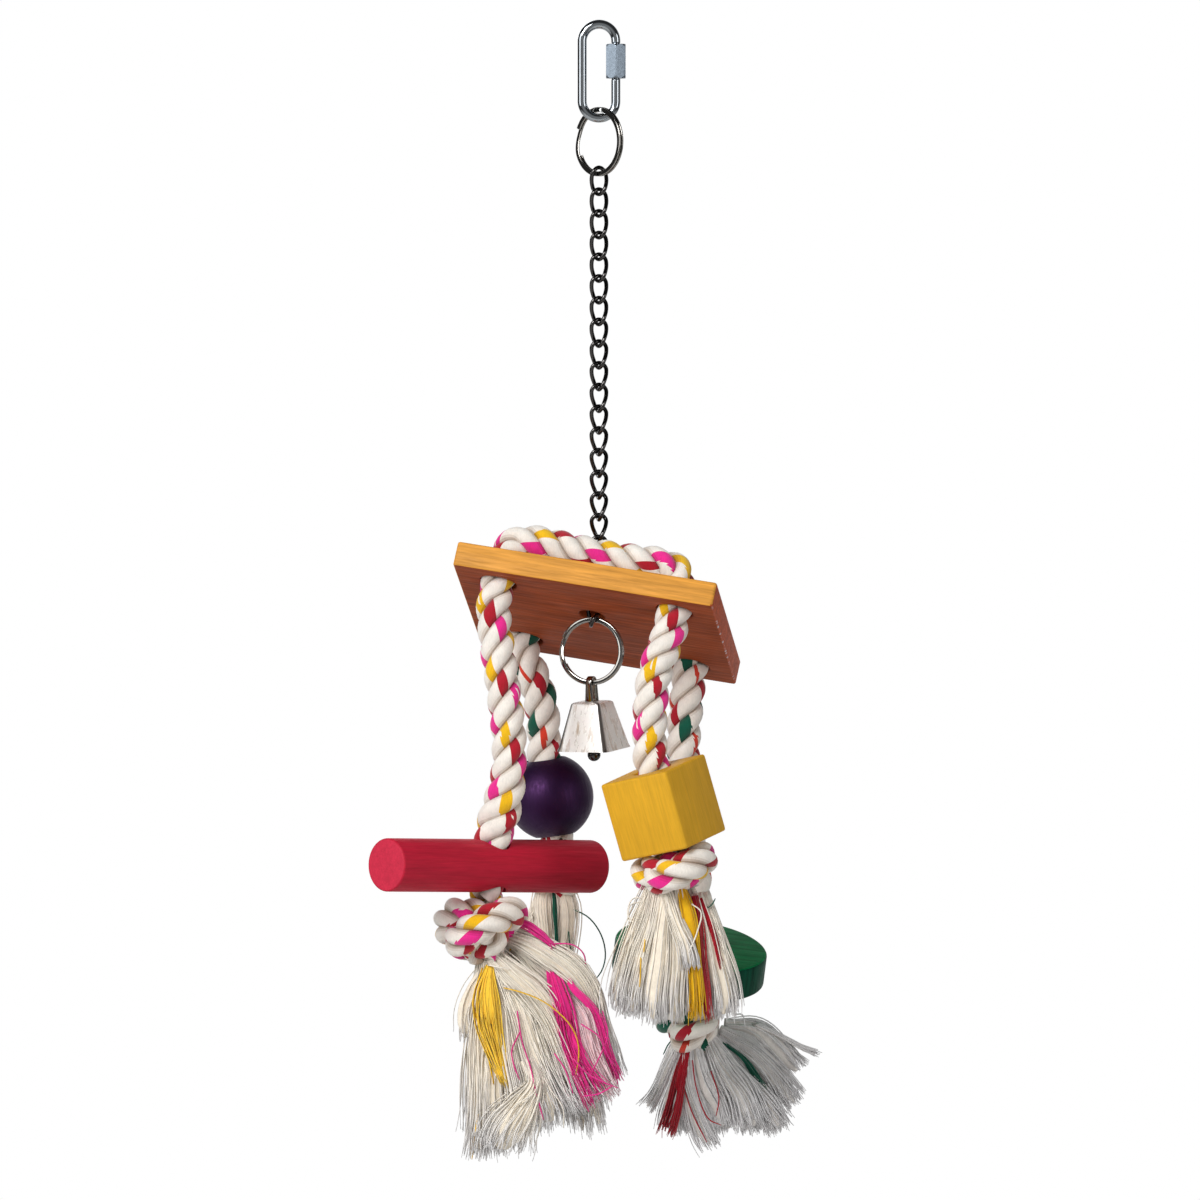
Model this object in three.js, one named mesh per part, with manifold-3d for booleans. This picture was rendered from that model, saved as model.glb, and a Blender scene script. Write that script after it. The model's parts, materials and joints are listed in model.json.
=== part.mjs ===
// Hanging bird chew toy: a quick link, a split ring and a twisted curb chain carry a wooden board,
// from which hang a small bell and four rope legs, each with a wooden bead, a knot and a tassel.
// Millimetres, +Z up, +X to the right and +Y away from someone who looks at the front.
// The origin is the inside top of the quick link, where the toy hangs on its hook.
import * as THREE from "three";
import { mergeVertices } from "three/addons/utils/BufferGeometryUtils.js";
import Module from "manifold-3d";

// Clearances
const SEAT_GAP = 0.3;
const COIL_GAP = 0.5;
const RING_GAP = 0.6;
const NUT_BORE_GAP = 0.2;
const BORE_GAP = 0.6;
const SLOT_GAP = 0.3;
const HOOK_GAP = 0.6;
const CUT_OVERRUN = 2;

// Quick link and its nut
const LINK_WIRE = 3.5;
const LINK_INNER_WIDTH = 9.2;
const LINK_INNER_LENGTH = 31.9;
const NUT_ACROSS_FLATS = 7.4;
const NUT_LENGTH = 13;
const NUT_BELOW_BOW = 1.1;
const NUT_CHAMFER = 0.4;
const LINK_OPENING = 5;
const NUT_GRIP = 2;

// Split rings: two flat turns of wire, with one jog between them
const UPPER_RING_OUTSIDE = 26.2;
const LOWER_RING_OUTSIDE = 25.7;
const RING_WIRE_WIDTH = 1.9;
const RING_WIRE_THICKNESS = 0.8;
const RING_JOG_ANGLE = 50;
const UPPER_RING_TURN = -49;
const LOWER_RING_TURN = -20;

// Twisted curb chain
const CHAIN_LINKS = 21;
const LINKS_IN_BOARD = 2;
const CHAIN_WIRE = 1.6;
const CHAIN_INNER_LENGTH = 8.49;
const CHAIN_INNER_WIDTH = 4;
const CHAIN_TWIST = 90;
const CHAIN_DRIFT = -2.05;

// Board and its lie: pitched back, rolled to the right and turned a little
const BOARD_LENGTH = 100;
const BOARD_DEPTH = 87;
const BOARD_THICKNESS = 9.5;
const BOARD_EDGE = 0.7;
const BOARD_PITCH = -20.4;
const BOARD_ROLL = 9;
const BOARD_TURN = -10.2;
const CHAIN_HOLE = 10;
const CHAIN_HOLE_FORWARD = 10;
const PIVOT_ABOVE_BOARD = 3.1;

// Ropes, their holes and the knots that stop the beads
const ROPE = 13;
const ROPE_HOLE = 14;
const ROPE_HOLE_FROM_END = 16;
const ROPE_HOLE_FROM_EDGE = 13.5;
const BACK_LEFT_HOLE_INSET = 3;
const LEG_PIVOT_BELOW_BOARD = 4;
const KNOTTED_ROPE = 12.4;
const KNOT_COIL_SWING = 3.6;
const TASSEL_NECK = 12;
const TASSEL_SWEEP = 0.3;
const DOWEL_TASSEL = 70;
const CUBE_TASSEL = 42;
const BALL_TASSEL = 45;
const DISC_TASSEL = 30;

// Wooden beads
const DOWEL_DIAMETER = 20;
const DOWEL_LENGTH = 107.5;
const DOWEL_ROUND = 0.8;
const CUBE_SIDE = 30;
const CUBE_EDGE = 1;
const CORNER_OVER_EDGE = 0.5;
const BALL_DIAMETER = 33;
const DISC_DIAMETER = 58;
const DISC_THICKNESS = 12.5;
const DISC_ROUND = 1.2;

// Square bell
const BELL_TOP_WIDTH = 12.8;
const BELL_MOUTH_WIDTH = 20.8;
const BELL_HEIGHT = 18;
const BELL_WALL = 0.8;
const BELL_LIP = 0.6;
const BELL_LIP_HEIGHT = 1.2;
const BELL_BELOW_RING = 7.2;
const BELL_SQUARENESS = 8;
const BELL_TURN = -8;
const BELL_TILT = 6.3;
const HANGER_STRAP = 0.7;
const HANGER_WIDTH = 2.2;
const HANGER_EYE = 3.6;
const HANGER_FOOT = 8;
const HANGER_INNER_EYE = 3;
const CLAPPER_WIRE = 0.9;
const CLAPPER_BALL = 5;
const CLAPPER_BELOW_MOUTH = 2.2;

// Facets
const WIRE_SIDES = 8;
const RING_STEPS_PER_TURN = 24;
const CHAIN_SIDES = 6;
const CHAIN_STEPS = 16;
const ROPE_SIDES = 8;
const KNOT_SIDES = 8;
const KNOT_STEPS = 24;
const CORNER_STEPS = 2;
const ROUND_SEGMENTS = 24;
const MERGE_DISTANCE = 1e-4;
const SLIVER = 0.05;

const wasm = await Module();
wasm.setup();

const UP = new THREE.Vector3(0, 0, 1);
const radians = THREE.MathUtils.degToRad;
const vector = (x, y, z) => new THREE.Vector3(x, y, z);

// Materials
const finish = (color, roughness, metalness) => () =>
  new THREE.MeshStandardMaterial({ color, roughness, metalness });
const zincSteel = finish(0xb9bec2, 0.35, 1);
const nickelSteel = finish(0x8b8a88, 0.22, 1);
const honeyWood = finish(0xc07a35, 0.6, 0);
const redWood = finish(0xb01f35, 0.5, 0);
const yellowWood = finish(0xd9a92a, 0.55, 0);
const purpleWood = finish(0x33164f, 0.4, 0);
const greenWood = finish(0x0f4f33, 0.5, 0);
const cotton = finish(0xece4d4, 0.9, 0);

// A named mesh, in a group of its parent's that turns about the given place
function piece(name, geometry, material) {
  const mesh = new THREE.Mesh(geometry, material());
  mesh.name = name;
  return mesh;
}

function groupAt(parent, position) {
  const group = new THREE.Group();
  group.position.copy(position);
  parent.add(group);
  return group;
}

// Geometry and solids
class FormulaCurve extends THREE.Curve {
  constructor(formula) {
    super();
    this.formula = formula;
  }

  getPoint(t, target = new THREE.Vector3()) {
    return target.copy(this.formula(t));
  }
}

function bareMesh(geometry) {
  const bare = new THREE.BufferGeometry();
  bare.setAttribute("position", geometry.getAttribute("position").clone());
  if (geometry.index) bare.setIndex(geometry.index.clone());
  const merged = mergeVertices(bare, MERGE_DISTANCE);
  const kept = [];
  for (let i = 0; i < merged.index.count; i += 3) {
    const [a, b, c] = [0, 1, 2].map((corner) => merged.index.getX(i + corner));
    if (a !== b && b !== c && c !== a) kept.push(a, b, c);
  }
  merged.setIndex(kept);
  return merged;
}

function solidFrom(geometry) {
  const mesh = bareMesh(geometry);
  return new wasm.Manifold(new wasm.Mesh({
    numProp: 3,
    vertProperties: new Float32Array(mesh.getAttribute("position").array),
    triVerts: new Uint32Array(mesh.index.array),
  }));
}

function geometryFrom(solid) {
  const mesh = solid.getMesh();
  const geometry = new THREE.BufferGeometry();
  geometry.setAttribute("position", new THREE.BufferAttribute(mesh.vertProperties, 3));
  geometry.setIndex(new THREE.BufferAttribute(mesh.triVerts, 1));
  geometry.computeVertexNormals();
  return geometry;
}

function polygon(sides, radius, firstAngle = 0) {
  const shape = new THREE.Shape();
  shape.setFromPoints(Array.from({ length: sides }, (_, i) => {
    const angle = firstAngle + (2 * Math.PI * i) / sides;
    return new THREE.Vector2(radius * Math.cos(angle), radius * Math.sin(angle));
  }));
  return shape;
}

function roundHole(x, y, radius) {
  const hole = new THREE.Path();
  hole.absarc(x, y, radius, 0, 2 * Math.PI, true);
  return hole;
}

function tube(curve, steps, radius, sides) {
  return new THREE.ExtrudeGeometry(polygon(sides, radius), { steps, extrudePath: curve });
}

// A lathe about Z from [radius, z] points that run from the top down the outside
function turned(profile, segments = ROUND_SEGMENTS) {
  const points = profile.map(([radius, z]) => new THREE.Vector2(radius, z));
  return new THREE.LatheGeometry(points.reverse(), segments).rotateX(Math.PI / 2);
}

function warp(geometry, move) {
  const position = geometry.getAttribute("position");
  for (let i = 0; i < position.count; i++) {
    const point = vector(position.getX(i), position.getY(i), position.getZ(i));
    move(point);
    position.setXYZ(i, point.x, point.y, point.z);
  }
  geometry.computeVertexNormals();
  return geometry;
}

// An upright oval of two straight legs and two round bows in the XZ plane, by distance along it
// from the top of the right leg
function ovalPoint(distance, bow, leg) {
  const halfTurn = Math.PI * bow;
  const along = distance % (2 * (leg + halfTurn));
  if (along < leg) return vector(bow, 0, leg / 2 - along);
  if (along < leg + halfTurn) {
    const angle = (along - leg) / bow;
    return vector(bow * Math.cos(angle), 0, -leg / 2 - bow * Math.sin(angle));
  }
  if (along < 2 * leg + halfTurn) return vector(-bow, 0, along - halfTurn - 1.5 * leg);
  const angle = (along - 2 * leg - halfTurn) / bow;
  return vector(-bow * Math.cos(angle), 0, leg / 2 + bow * Math.sin(angle));
}

// Quick link: its right leg is open behind the nut
const linkBow = (LINK_INNER_WIDTH + LINK_WIRE) / 2;
const linkLeg = LINK_INNER_LENGTH - LINK_INNER_WIDTH;
const linkCentre = -LINK_INNER_LENGTH / 2;
const linkSteps = 36;
const openingTop = NUT_BELOW_BOW + NUT_GRIP;
const linkWireLength = 2 * (linkLeg + Math.PI * linkBow) - LINK_OPENING;

function quickLink() {
  const start = openingTop + LINK_OPENING;
  const wire = new FormulaCurve((t) => ovalPoint(start + t * linkWireLength, linkBow, linkLeg));
  return tube(wire, linkSteps, LINK_WIRE / 2, WIRE_SIDES);
}

function linkNut() {
  const corner = NUT_ACROSS_FLATS / Math.sqrt(3);
  const hexagon = polygon(6, corner, -Math.PI / 2);
  hexagon.holes.push(roundHole(0, 0, LINK_WIRE / 2 + NUT_BORE_GAP));
  return new THREE.ExtrudeGeometry(hexagon, {
    depth: NUT_LENGTH - 2 * NUT_CHAMFER,
    bevelThickness: NUT_CHAMFER,
    bevelSize: NUT_CHAMFER,
    bevelOffset: -NUT_CHAMFER,
    bevelSegments: 1,
    curveSegments: 6,
  }).translate(0, 0, NUT_CHAMFER);
}

// Split ring in the XZ plane about its centre. The jog is on its left.
const ringPitch = RING_WIRE_THICKNESS + COIL_GAP;
const ringMean = (outside) => (outside - RING_WIRE_WIDTH) / 2;

function splitRing(name, outside) {
  const mean = ringMean(outside);
  const jog = radians(RING_JOG_ANGLE);
  const turns = 4 * Math.PI - jog;
  const steps = Math.round((turns / (2 * Math.PI)) * RING_STEPS_PER_TURN);
  const wire = new FormulaCurve((t) => {
    const angle = jog / 2 + t * turns;
    const climb = THREE.MathUtils.smoothstep(angle, 2 * Math.PI - jog / 2, 2 * Math.PI + jog / 2);
    const side = ringPitch * (climb - 0.5);
    return vector(-mean * Math.cos(angle), side, mean * Math.sin(angle));
  });
  const section = new THREE.Shape();
  const [flat, edge] = [RING_WIRE_THICKNESS / 2, RING_WIRE_WIDTH / 2];
  const shoulder = edge / 2;
  section.setFromPoints([
    [flat, -shoulder], [flat, shoulder], [0, edge], [-flat, shoulder], [-flat, -shoulder], [0, -edge],
  ].map(([x, y]) => new THREE.Vector2(x, y)));
  const geometry = new THREE.ExtrudeGeometry(section, { steps, extrudePath: wire });
  console.log(`${name}: least gap between its turns ${leastTurnGap(wire).toFixed(2)} mm`);
  return geometry;
}

// The least clear distance between stretches of a split ring's wire that lie over half a turn apart
function leastTurnGap(wire) {
  const points = wire.getSpacedPoints(8 * RING_STEPS_PER_TURN);
  const apart = 2 * RING_STEPS_PER_TURN;
  let least = Infinity;
  points.forEach((point, i) => {
    for (let j = i + apart; j < points.length; j++) {
      least = Math.min(least, point.distanceTo(points[j]));
    }
  });
  return least - RING_WIRE_THICKNESS;
}

// Chain link: an oval whose wire turns a quarter turn from its top bow to its bottom bow
const chainBow = (CHAIN_INNER_WIDTH + CHAIN_WIRE) / 2;
const chainLeg = CHAIN_INNER_LENGTH - CHAIN_INNER_WIDTH;
const chainHalf = (CHAIN_INNER_LENGTH + CHAIN_WIRE) / 2;
const chainSeat = CHAIN_WIRE + SEAT_GAP;
const chainOnRing = (CHAIN_WIRE + RING_WIRE_WIDTH) / 2 + RING_GAP;

function chainLink() {
  const length = 2 * (chainLeg + Math.PI * chainBow);
  const wire = new FormulaCurve((t) => {
    const point = ovalPoint(t * length, chainBow, chainLeg);
    const share = Math.sin((Math.PI / 2) * (point.z / chainHalf));
    return point.applyAxisAngle(UP, radians(CHAIN_TWIST / 2) * share);
  });
  return new THREE.TubeGeometry(wire, CHAIN_STEPS, CHAIN_WIRE / 2, CHAIN_SIDES, true);
}

// Board, with its top face at z = 0 and its chain hole on the Z axis
const ropeAcross = BOARD_LENGTH / 2 - ROPE_HOLE_FROM_END;
const ropeFront = CHAIN_HOLE_FORWARD - BOARD_DEPTH / 2 + ROPE_HOLE_FROM_EDGE;
const ropeBack = CHAIN_HOLE_FORWARD + BOARD_DEPTH / 2 - ROPE_HOLE_FROM_EDGE;
const frontLeft = new THREE.Vector2(-ropeAcross, ropeFront);
const frontRight = new THREE.Vector2(ropeAcross, ropeFront);
const backLeft = new THREE.Vector2(BACK_LEFT_HOLE_INSET - ropeAcross, ropeBack);
const backRight = new THREE.Vector2(ropeAcross, ropeBack);

function roundedRectangle(width, depth, corner) {
  const points = [];
  for (let i = 0; i < 4; i++) {
    const x = ((i === 0 || i === 3 ? 1 : -1) * (width - 2 * corner)) / 2;
    const y = ((i < 2 ? 1 : -1) * (depth - 2 * corner)) / 2;
    for (let j = 0; j <= CORNER_STEPS; j++) {
      const angle = (Math.PI / 2) * (i + j / CORNER_STEPS);
      points.push(new THREE.Vector2(x + corner * Math.cos(angle), y + corner * Math.sin(angle)));
    }
  }
  return new THREE.Shape(points);
}

function roundedSlab(shape, thickness, edge, bevelSegments) {
  return new THREE.ExtrudeGeometry(shape, {
    depth: thickness - 2 * edge,
    bevelThickness: edge,
    bevelSize: edge,
    bevelOffset: -edge,
    bevelSegments,
    curveSegments: 6,
  }).translate(0, 0, edge);
}

function board() {
  const outline = roundedRectangle(BOARD_LENGTH, BOARD_DEPTH, BOARD_EDGE + CORNER_OVER_EDGE);
  outline.holes.push(roundHole(0, -CHAIN_HOLE_FORWARD, CHAIN_HOLE / 2));
  for (const { x, y } of [frontLeft, frontRight, backLeft, backRight]) {
    outline.holes.push(roundHole(x, y - CHAIN_HOLE_FORWARD, ROPE_HOLE / 2));
  }
  const slab = roundedSlab(outline, BOARD_THICKNESS, BOARD_EDGE, 1);
  return slab.translate(0, CHAIN_HOLE_FORWARD, -BOARD_THICKNESS);
}

// A rope's stretch over the board, from inside one hole to inside the other. Each point is its
// distance in from the hole's centre and the height of the rope's underside, by hand.
const ropeOverLeft = [[1, -2.8], [4.5, 1.2], [12, 2.4], [24, 1.6]];
const ropeOverRight = [[24, 0.9], [12, 1.6], [4.5, 0.9], [1, -2.8]];

function ropeTop(left, right) {
  const end = SEAT_GAP + ROPE / 2 - LEG_PIVOT_BELOW_BOARD - BOARD_THICKNESS;
  const high = ROPE / 2;
  const above = (hole, inward, z) => vector(hole.x + inward, hole.y, z);
  const points = [
    above(left, 0, end),
    above(left, 0, -high / 2),
    ...ropeOverLeft.map(([inward, lift]) => above(left, inward, lift + high)),
    ...ropeOverRight.map(([inward, lift]) => above(right, -inward, lift + high)),
    above(right, 0, -high / 2),
    above(right, 0, end),
  ];
  return tube(new THREE.CatmullRomCurve3(points, false, "centripetal"), 22, ROPE / 2, ROPE_SIDES);
}

// Beads, each about its bore along Z
const boreRadius = ROPE / 2 + BORE_GAP;

function dowelBar() {
  const [radius, half] = [DOWEL_DIAMETER / 2, DOWEL_LENGTH / 2];
  const bar = turned([
    [0, half], [radius - DOWEL_ROUND, half], [radius, half - DOWEL_ROUND],
    [radius, DOWEL_ROUND - half], [radius - DOWEL_ROUND, -half], [0, -half],
  ]).rotateY(Math.PI / 2);
  const bore = new THREE.CylinderGeometry(boreRadius, boreRadius, DOWEL_DIAMETER + CUT_OVERRUN,
    ROUND_SEGMENTS).rotateX(Math.PI / 2);
  return geometryFrom(solidFrom(bar).subtract(solidFrom(bore)));
}

function cubeBlock() {
  const outline = roundedRectangle(CUBE_SIDE, CUBE_SIDE, CUBE_EDGE + CORNER_OVER_EDGE);
  outline.holes.push(roundHole(0, 0, boreRadius));
  return roundedSlab(outline, CUBE_SIDE, CUBE_EDGE, 2).translate(0, 0, -CUBE_SIDE / 2);
}

function ballBead() {
  const radius = BALL_DIAMETER / 2;
  const first = Math.asin(boreRadius / radius);
  const rings = 8;
  const profile = Array.from({ length: rings + 1 }, (_, i) => {
    const angle = first + ((Math.PI - 2 * first) * i) / rings;
    return [radius * Math.sin(angle), radius * Math.cos(angle)];
  });
  return turned([...profile, profile[0]]);
}

function discBead() {
  const [radius, half] = [DISC_DIAMETER / 2, DISC_THICKNESS / 2];
  return turned([
    [boreRadius, half], [radius - DISC_ROUND, half], [radius, half - DISC_ROUND],
    [radius, DISC_ROUND - half], [radius - DISC_ROUND, -half], [boreRadius, -half],
    [boreRadius, half],
  ], 1.5 * ROUND_SEGMENTS);
}

// How far a knot reaches out from its axis
const knotReach = (coil) => coil + KNOT_COIL_SWING + KNOTTED_ROPE / 2;

// An overhand knot about Z: the rope comes in from the top, winds twice round with a pass through
// the middle before, between and after, and leaves at the bottom. Its middle is packed full.
function knot(halfHeight, coil) {
  const ropeRadius = KNOTTED_ROPE / 2;
  const swing = halfHeight - ropeRadius;
  const [first, last, samples] = [50, 310, 20];
  const points = [vector(0, 0, halfHeight), vector(0, 0, halfHeight - ropeRadius / 2)];
  for (let i = 0; i <= samples; i++) {
    const angle = radians(first + ((last - first) * i) / samples);
    const out = coil + KNOT_COIL_SWING * Math.cos(3 * angle);
    points.push(vector(out * Math.cos(2 * angle), out * Math.sin(2 * angle), swing * Math.sin(3 * angle)));
  }
  points.push(vector(0, 0, ropeRadius / 2 - halfHeight), vector(0, 0, -halfHeight));
  const path = new THREE.CatmullRomCurve3(points, false, "centripetal");
  const { normals, binormals } = path.computeFrenetFrames(KNOT_STEPS);
  const sections = normals.map((normal, i) => Array.from({ length: KNOT_SIDES }, (_, k) => {
    const angle = (2 * Math.PI * k) / KNOT_SIDES;
    const point = path.getPointAt(i / KNOT_STEPS);
    point.addScaledVector(normal, ropeRadius * Math.cos(angle));
    return point.addScaledVector(binormals[i], ropeRadius * Math.sin(angle)).toArray();
  }));
  const solids = sections.slice(1).map((section, i) => wasm.Manifold.hull([...sections[i], ...section]));
  const middle = wasm.Manifold.cylinder(2 * swing, coil, coil, KNOT_STEPS, true);
  const across = 4 * knotReach(coil);
  const between = solidFrom(new THREE.BoxGeometry(across, across, 2 * halfHeight));
  const whole = solids.reduce((joined, solid) => joined.add(solid), middle);
  const skins = whole.intersect(between).simplify(SLIVER).decompose();
  return geometryFrom(skins.reduce((outer, skin) => (skin.volume() > outer.volume() ? skin : outer)));
}

// A frayed tassel that hangs from the origin: a round neck that spreads into a lobed, swept skirt
function tassel({ length, spread, sweep, flare, lobes }) {
  const neck = TASSEL_NECK / 2;
  const dome = [0, 30, 60].map((angle) => [neck * Math.sin(radians(angle)), neck * Math.cos(radians(angle))]);
  const sides = [0, 0.05, 0.15, 0.35, 0.65, 0.95].map((share) => [neck, -share * length]);
  const geometry = turned([...dome, ...sides, [0.8 * neck, -length], [0, -0.97 * length]], 16);
  return warp(geometry, (point) => {
    const share = THREE.MathUtils.clamp(-point.z / length, 0, 1);
    const opening = share ** flare;
    const ripple = 1 + 0.09 * share * Math.cos(lobes * Math.atan2(point.y, point.x));
    point.x *= (1 + (spread[0] / neck - 1) * opening) * ripple;
    point.y *= (1 + (spread[1] / neck - 1) * opening) * ripple;
    point.x += sweep[0] * share ** TASSEL_SWEEP;
    point.y += sweep[1] * share ** TASSEL_SWEEP;
  });
}

// Bell parts, below the middle of the ring's wire that they hang on
const bellTop = -BELL_BELOW_RING;
const bellMouth = bellTop - BELL_HEIGHT;
const hangerEyeRadius = HANGER_EYE / 2;
const hangerInnerRadius = HANGER_INNER_EYE / 2;
const hangerEyeCentre = Math.hypot(RING_WIRE_WIDTH, ringPitch + RING_WIRE_THICKNESS) / 2
  + SEAT_GAP - hangerEyeRadius;
const hangerHalf = hangerEyeRadius + HANGER_STRAP;
const bellCeiling = bellTop - BELL_WALL;
const hangerFootTop = bellCeiling - SEAT_GAP;
const hangerFootBottom = hangerFootTop - HANGER_STRAP;
const hangerInnerCentre = hangerFootBottom - hangerInnerRadius;
const clapperPivot = hangerInnerCentre - hangerInnerRadius - HANGER_STRAP / 2;

function bellShell() {
  const [top, mouth] = [BELL_TOP_WIDTH / 2, BELL_MOUTH_WIDTH / 2];
  const lipTop = bellMouth + BELL_LIP_HEIGHT;
  const shell = turned([
    [0, bellTop], [top - BELL_WALL, bellTop], [top, bellCeiling],
    [mouth, lipTop], [mouth + BELL_LIP, bellMouth], [mouth + BELL_LIP - BELL_WALL, bellMouth],
    [mouth - BELL_WALL, lipTop], [top - BELL_WALL, bellCeiling - BELL_WALL],
    [top - 2 * BELL_WALL, bellCeiling], [0, bellCeiling],
  ]);
  warp(shell, (point) => {
    const angle = Math.atan2(point.y, point.x);
    const [across, along] = [Math.abs(Math.cos(angle)), Math.abs(Math.sin(angle))];
    const reach = (across ** BELL_SQUARENESS + along ** BELL_SQUARENESS) ** (-1 / BELL_SQUARENESS);
    point.x *= reach;
    point.y *= reach;
  });
  const slot = new THREE.BoxGeometry(HANGER_WIDTH + 2 * SLOT_GAP, 2 * (hangerHalf + SLOT_GAP),
    BELL_WALL + CUT_OVERRUN).translate(0, 0, bellTop - BELL_WALL / 2);
  return geometryFrom(solidFrom(shell).subtract(solidFrom(slot)));
}

// Hanger: a strap bent over the ring, with both legs through the bell's top. Its feet are clinched
// under the top, round an eye for the clapper.
function bellHanger() {
  const foot = HANGER_FOOT / 2;
  const eyeOutside = hangerInnerRadius + HANGER_STRAP;
  const eyeAngle = Math.asin(hangerInnerRadius / eyeOutside);
  const outline = new THREE.Shape();
  outline.moveTo(hangerHalf, hangerFootTop);
  outline.lineTo(hangerHalf, hangerEyeCentre);
  outline.absarc(0, hangerEyeCentre, hangerHalf, 0, Math.PI);
  outline.lineTo(-hangerHalf, hangerFootTop);
  outline.lineTo(-foot, hangerFootTop);
  outline.lineTo(-foot, hangerFootBottom);
  outline.absarc(0, hangerInnerCentre, eyeOutside, Math.PI - eyeAngle, 2 * Math.PI + eyeAngle);
  outline.lineTo(foot, hangerFootBottom);
  outline.lineTo(foot, hangerFootTop);
  const loop = new THREE.Path();
  loop.moveTo(hangerEyeRadius, bellCeiling);
  loop.lineTo(hangerEyeRadius, hangerEyeCentre);
  loop.absarc(0, hangerEyeCentre, hangerEyeRadius, 0, Math.PI);
  loop.lineTo(-hangerEyeRadius, bellCeiling);
  outline.holes.push(loop);
  outline.holes.push(roundHole(0, hangerInnerCentre, hangerInnerRadius));
  const strap = new THREE.ExtrudeGeometry(outline, {
    depth: HANGER_WIDTH, bevelEnabled: false, curveSegments: 6,
  });
  return strap.translate(0, 0, -HANGER_WIDTH / 2).rotateX(Math.PI / 2).rotateZ(Math.PI / 2);
}

// Clapper: a wire hooked over the inner eye's lower bar, with a ball on its end. It hangs from the
// middle of that bar.
function clapper() {
  const wire = CLAPPER_WIRE / 2;
  const over = HANGER_STRAP / 2 + HOOK_GAP + wire;
  const beside = HANGER_WIDTH / 2 + HOOK_GAP + wire;
  const ballCentre = bellMouth - CLAPPER_BELOW_MOUTH - clapperPivot;
  const shank = -over - 2 * beside;
  const points = [
    vector(-beside, 0, -over), vector(-beside, 0, over / 2), vector(0, 0, over),
    vector(beside, 0, over / 2), vector(beside, 0, -over), vector(0, 0, shank),
    vector(0, 0, (shank + ballCentre) / 2), vector(0, 0, ballCentre),
  ];
  const hook = tube(new THREE.CatmullRomCurve3(points, false, "centripetal"), 15, wire, 6);
  const ball = new THREE.SphereGeometry(CLAPPER_BALL / 2, 10, 6).rotateX(Math.PI / 2);
  ball.translate(0, 0, ballCentre);
  return geometryFrom(solidFrom(hook).add(solidFrom(ball)));
}

// Legs. Each route runs from the leg's pivot under the board to the top of its bead, its points
// chosen by hand. The rope passes through the bead along "through" and into the knot along "into". The
// tassel leaves the knot a little to one side of its middle.
const legs = [
  {
    name: "dowel", hole: frontLeft, bead: "dowel_bar", height: DOWEL_DIAMETER,
    shape: dowelBar, color: redWood, beadTurn: 44.6,
    route: [[-0.9, -1.5, -5], [0.5, -5, -20], [2.8, -7, -36], [5, -7.5, -56], [4.4, -7.2, -70],
      [1.4, -6.2, -83], [-1.4, -5.8, -92.4]],
    through: [-0.1, 0.073, -1], into: [-0.02, 0, -1], knotHalf: 11.5, knotCoil: 11, knotTurn: 30,
    flatSeat: true, tasselAside: 6,
    tassel: { length: DOWEL_TASSEL, spread: [28, 15], sweep: [18, 0], flare: 0.2, lobes: 7 },
  },
  {
    name: "cube", hole: frontRight, bead: "cube_block", height: CUBE_SIDE,
    shape: cubeBlock, color: yellowWood, beadTurn: 147,
    route: [[-1.2, -1.6, -5], [-3.2, -3, -10], [-6.6, -4.4, -20], [-8, -5, -31], [-8.4, -5, -42],
      [-8.2, -4.6, -50], [-7.3, -4, -55.4]],
    through: [0.268, 0.09, -0.948], into: [0.268, 0.09, -0.948], knotHalf: 9, knotCoil: 10, knotTurn: 30,
    flatSeat: true, tasselAside: -6.5,
    tassel: { length: CUBE_TASSEL, spread: [23, 13], sweep: [-0.5, 0], flare: 0.28, lobes: 6 },
  },
  {
    name: "ball", hole: backLeft, bead: "ball_bead", height: BALL_DIAMETER,
    shape: ballBead, color: purpleWood, beadTurn: 0,
    route: [[1.2, -1, -5], [4, -1.4, -10.5], [6.8, -0.8, -20], [8, 0.6, -30], [8.2, 2, -40]],
    through: [0.14, 0.06, -1], into: [-0.05, 0.06, -1], knotHalf: 10, knotCoil: 6.2, knotTurn: 140,
    flatSeat: false, tasselAside: 0,
    tassel: { length: BALL_TASSEL, spread: [11, 11], sweep: [-7, 2], flare: 0.4, lobes: 5 },
  },
  {
    name: "disc", hole: backRight, bead: "disc_bead", height: DISC_THICKNESS,
    shape: discBead, color: greenWood, beadTurn: 0,
    route: [[-0.4, -1.2, -5], [-1, -2, -11], [-2, -2.8, -21], [-2.2, -3, -31], [-1.2, -2.8, -48],
      [1, -2.6, -66], [2.2, -2.4, -83], [1.8, -1.6, -93.6], [0.9, 0.4, -102.1]],
    through: [-0.116, 0.31, -0.944], into: [0.2, 0.12, -1], knotHalf: 11, knotCoil: 6.5, knotTurn: 30,
    flatSeat: true, tasselAside: 0,
    tassel: { length: DISC_TASSEL, spread: [30, 15], sweep: [9, 0], flare: 0.22, lobes: 8 },
  },
];

// A turn that takes -Z to the given direction, after a turn about Z
function hangingTurn(direction, turn) {
  const lean = new THREE.Quaternion().setFromUnitVectors(UP.clone().negate(), direction);
  return lean.multiply(new THREE.Quaternion().setFromAxisAngle(UP, radians(turn)));
}

// A leg's rope from its pivot, with a round top, to a flat end that faces along "into"
function ropeLeg(points, end, into) {
  const beyond = end.clone().addScaledVector(into, ROPE / 2);
  const route = new THREE.CatmullRomCurve3([vector(0, 0, 0), ...points, end, beyond], false, "centripetal");
  const rope = tube(route, 15, ROPE / 2, ROPE_SIDES);
  const top = new THREE.SphereGeometry(ROPE / 2, 8, 6);
  const past = new THREE.BoxGeometry(4 * ROPE, 4 * ROPE, 4 * ROPE)
    .applyQuaternion(hangingTurn(into, 0))
    .translate(...end.clone().addScaledVector(into, 2 * ROPE).toArray());
  return geometryFrom(solidFrom(rope).add(solidFrom(top)).subtract(solidFrom(past)));
}

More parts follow.
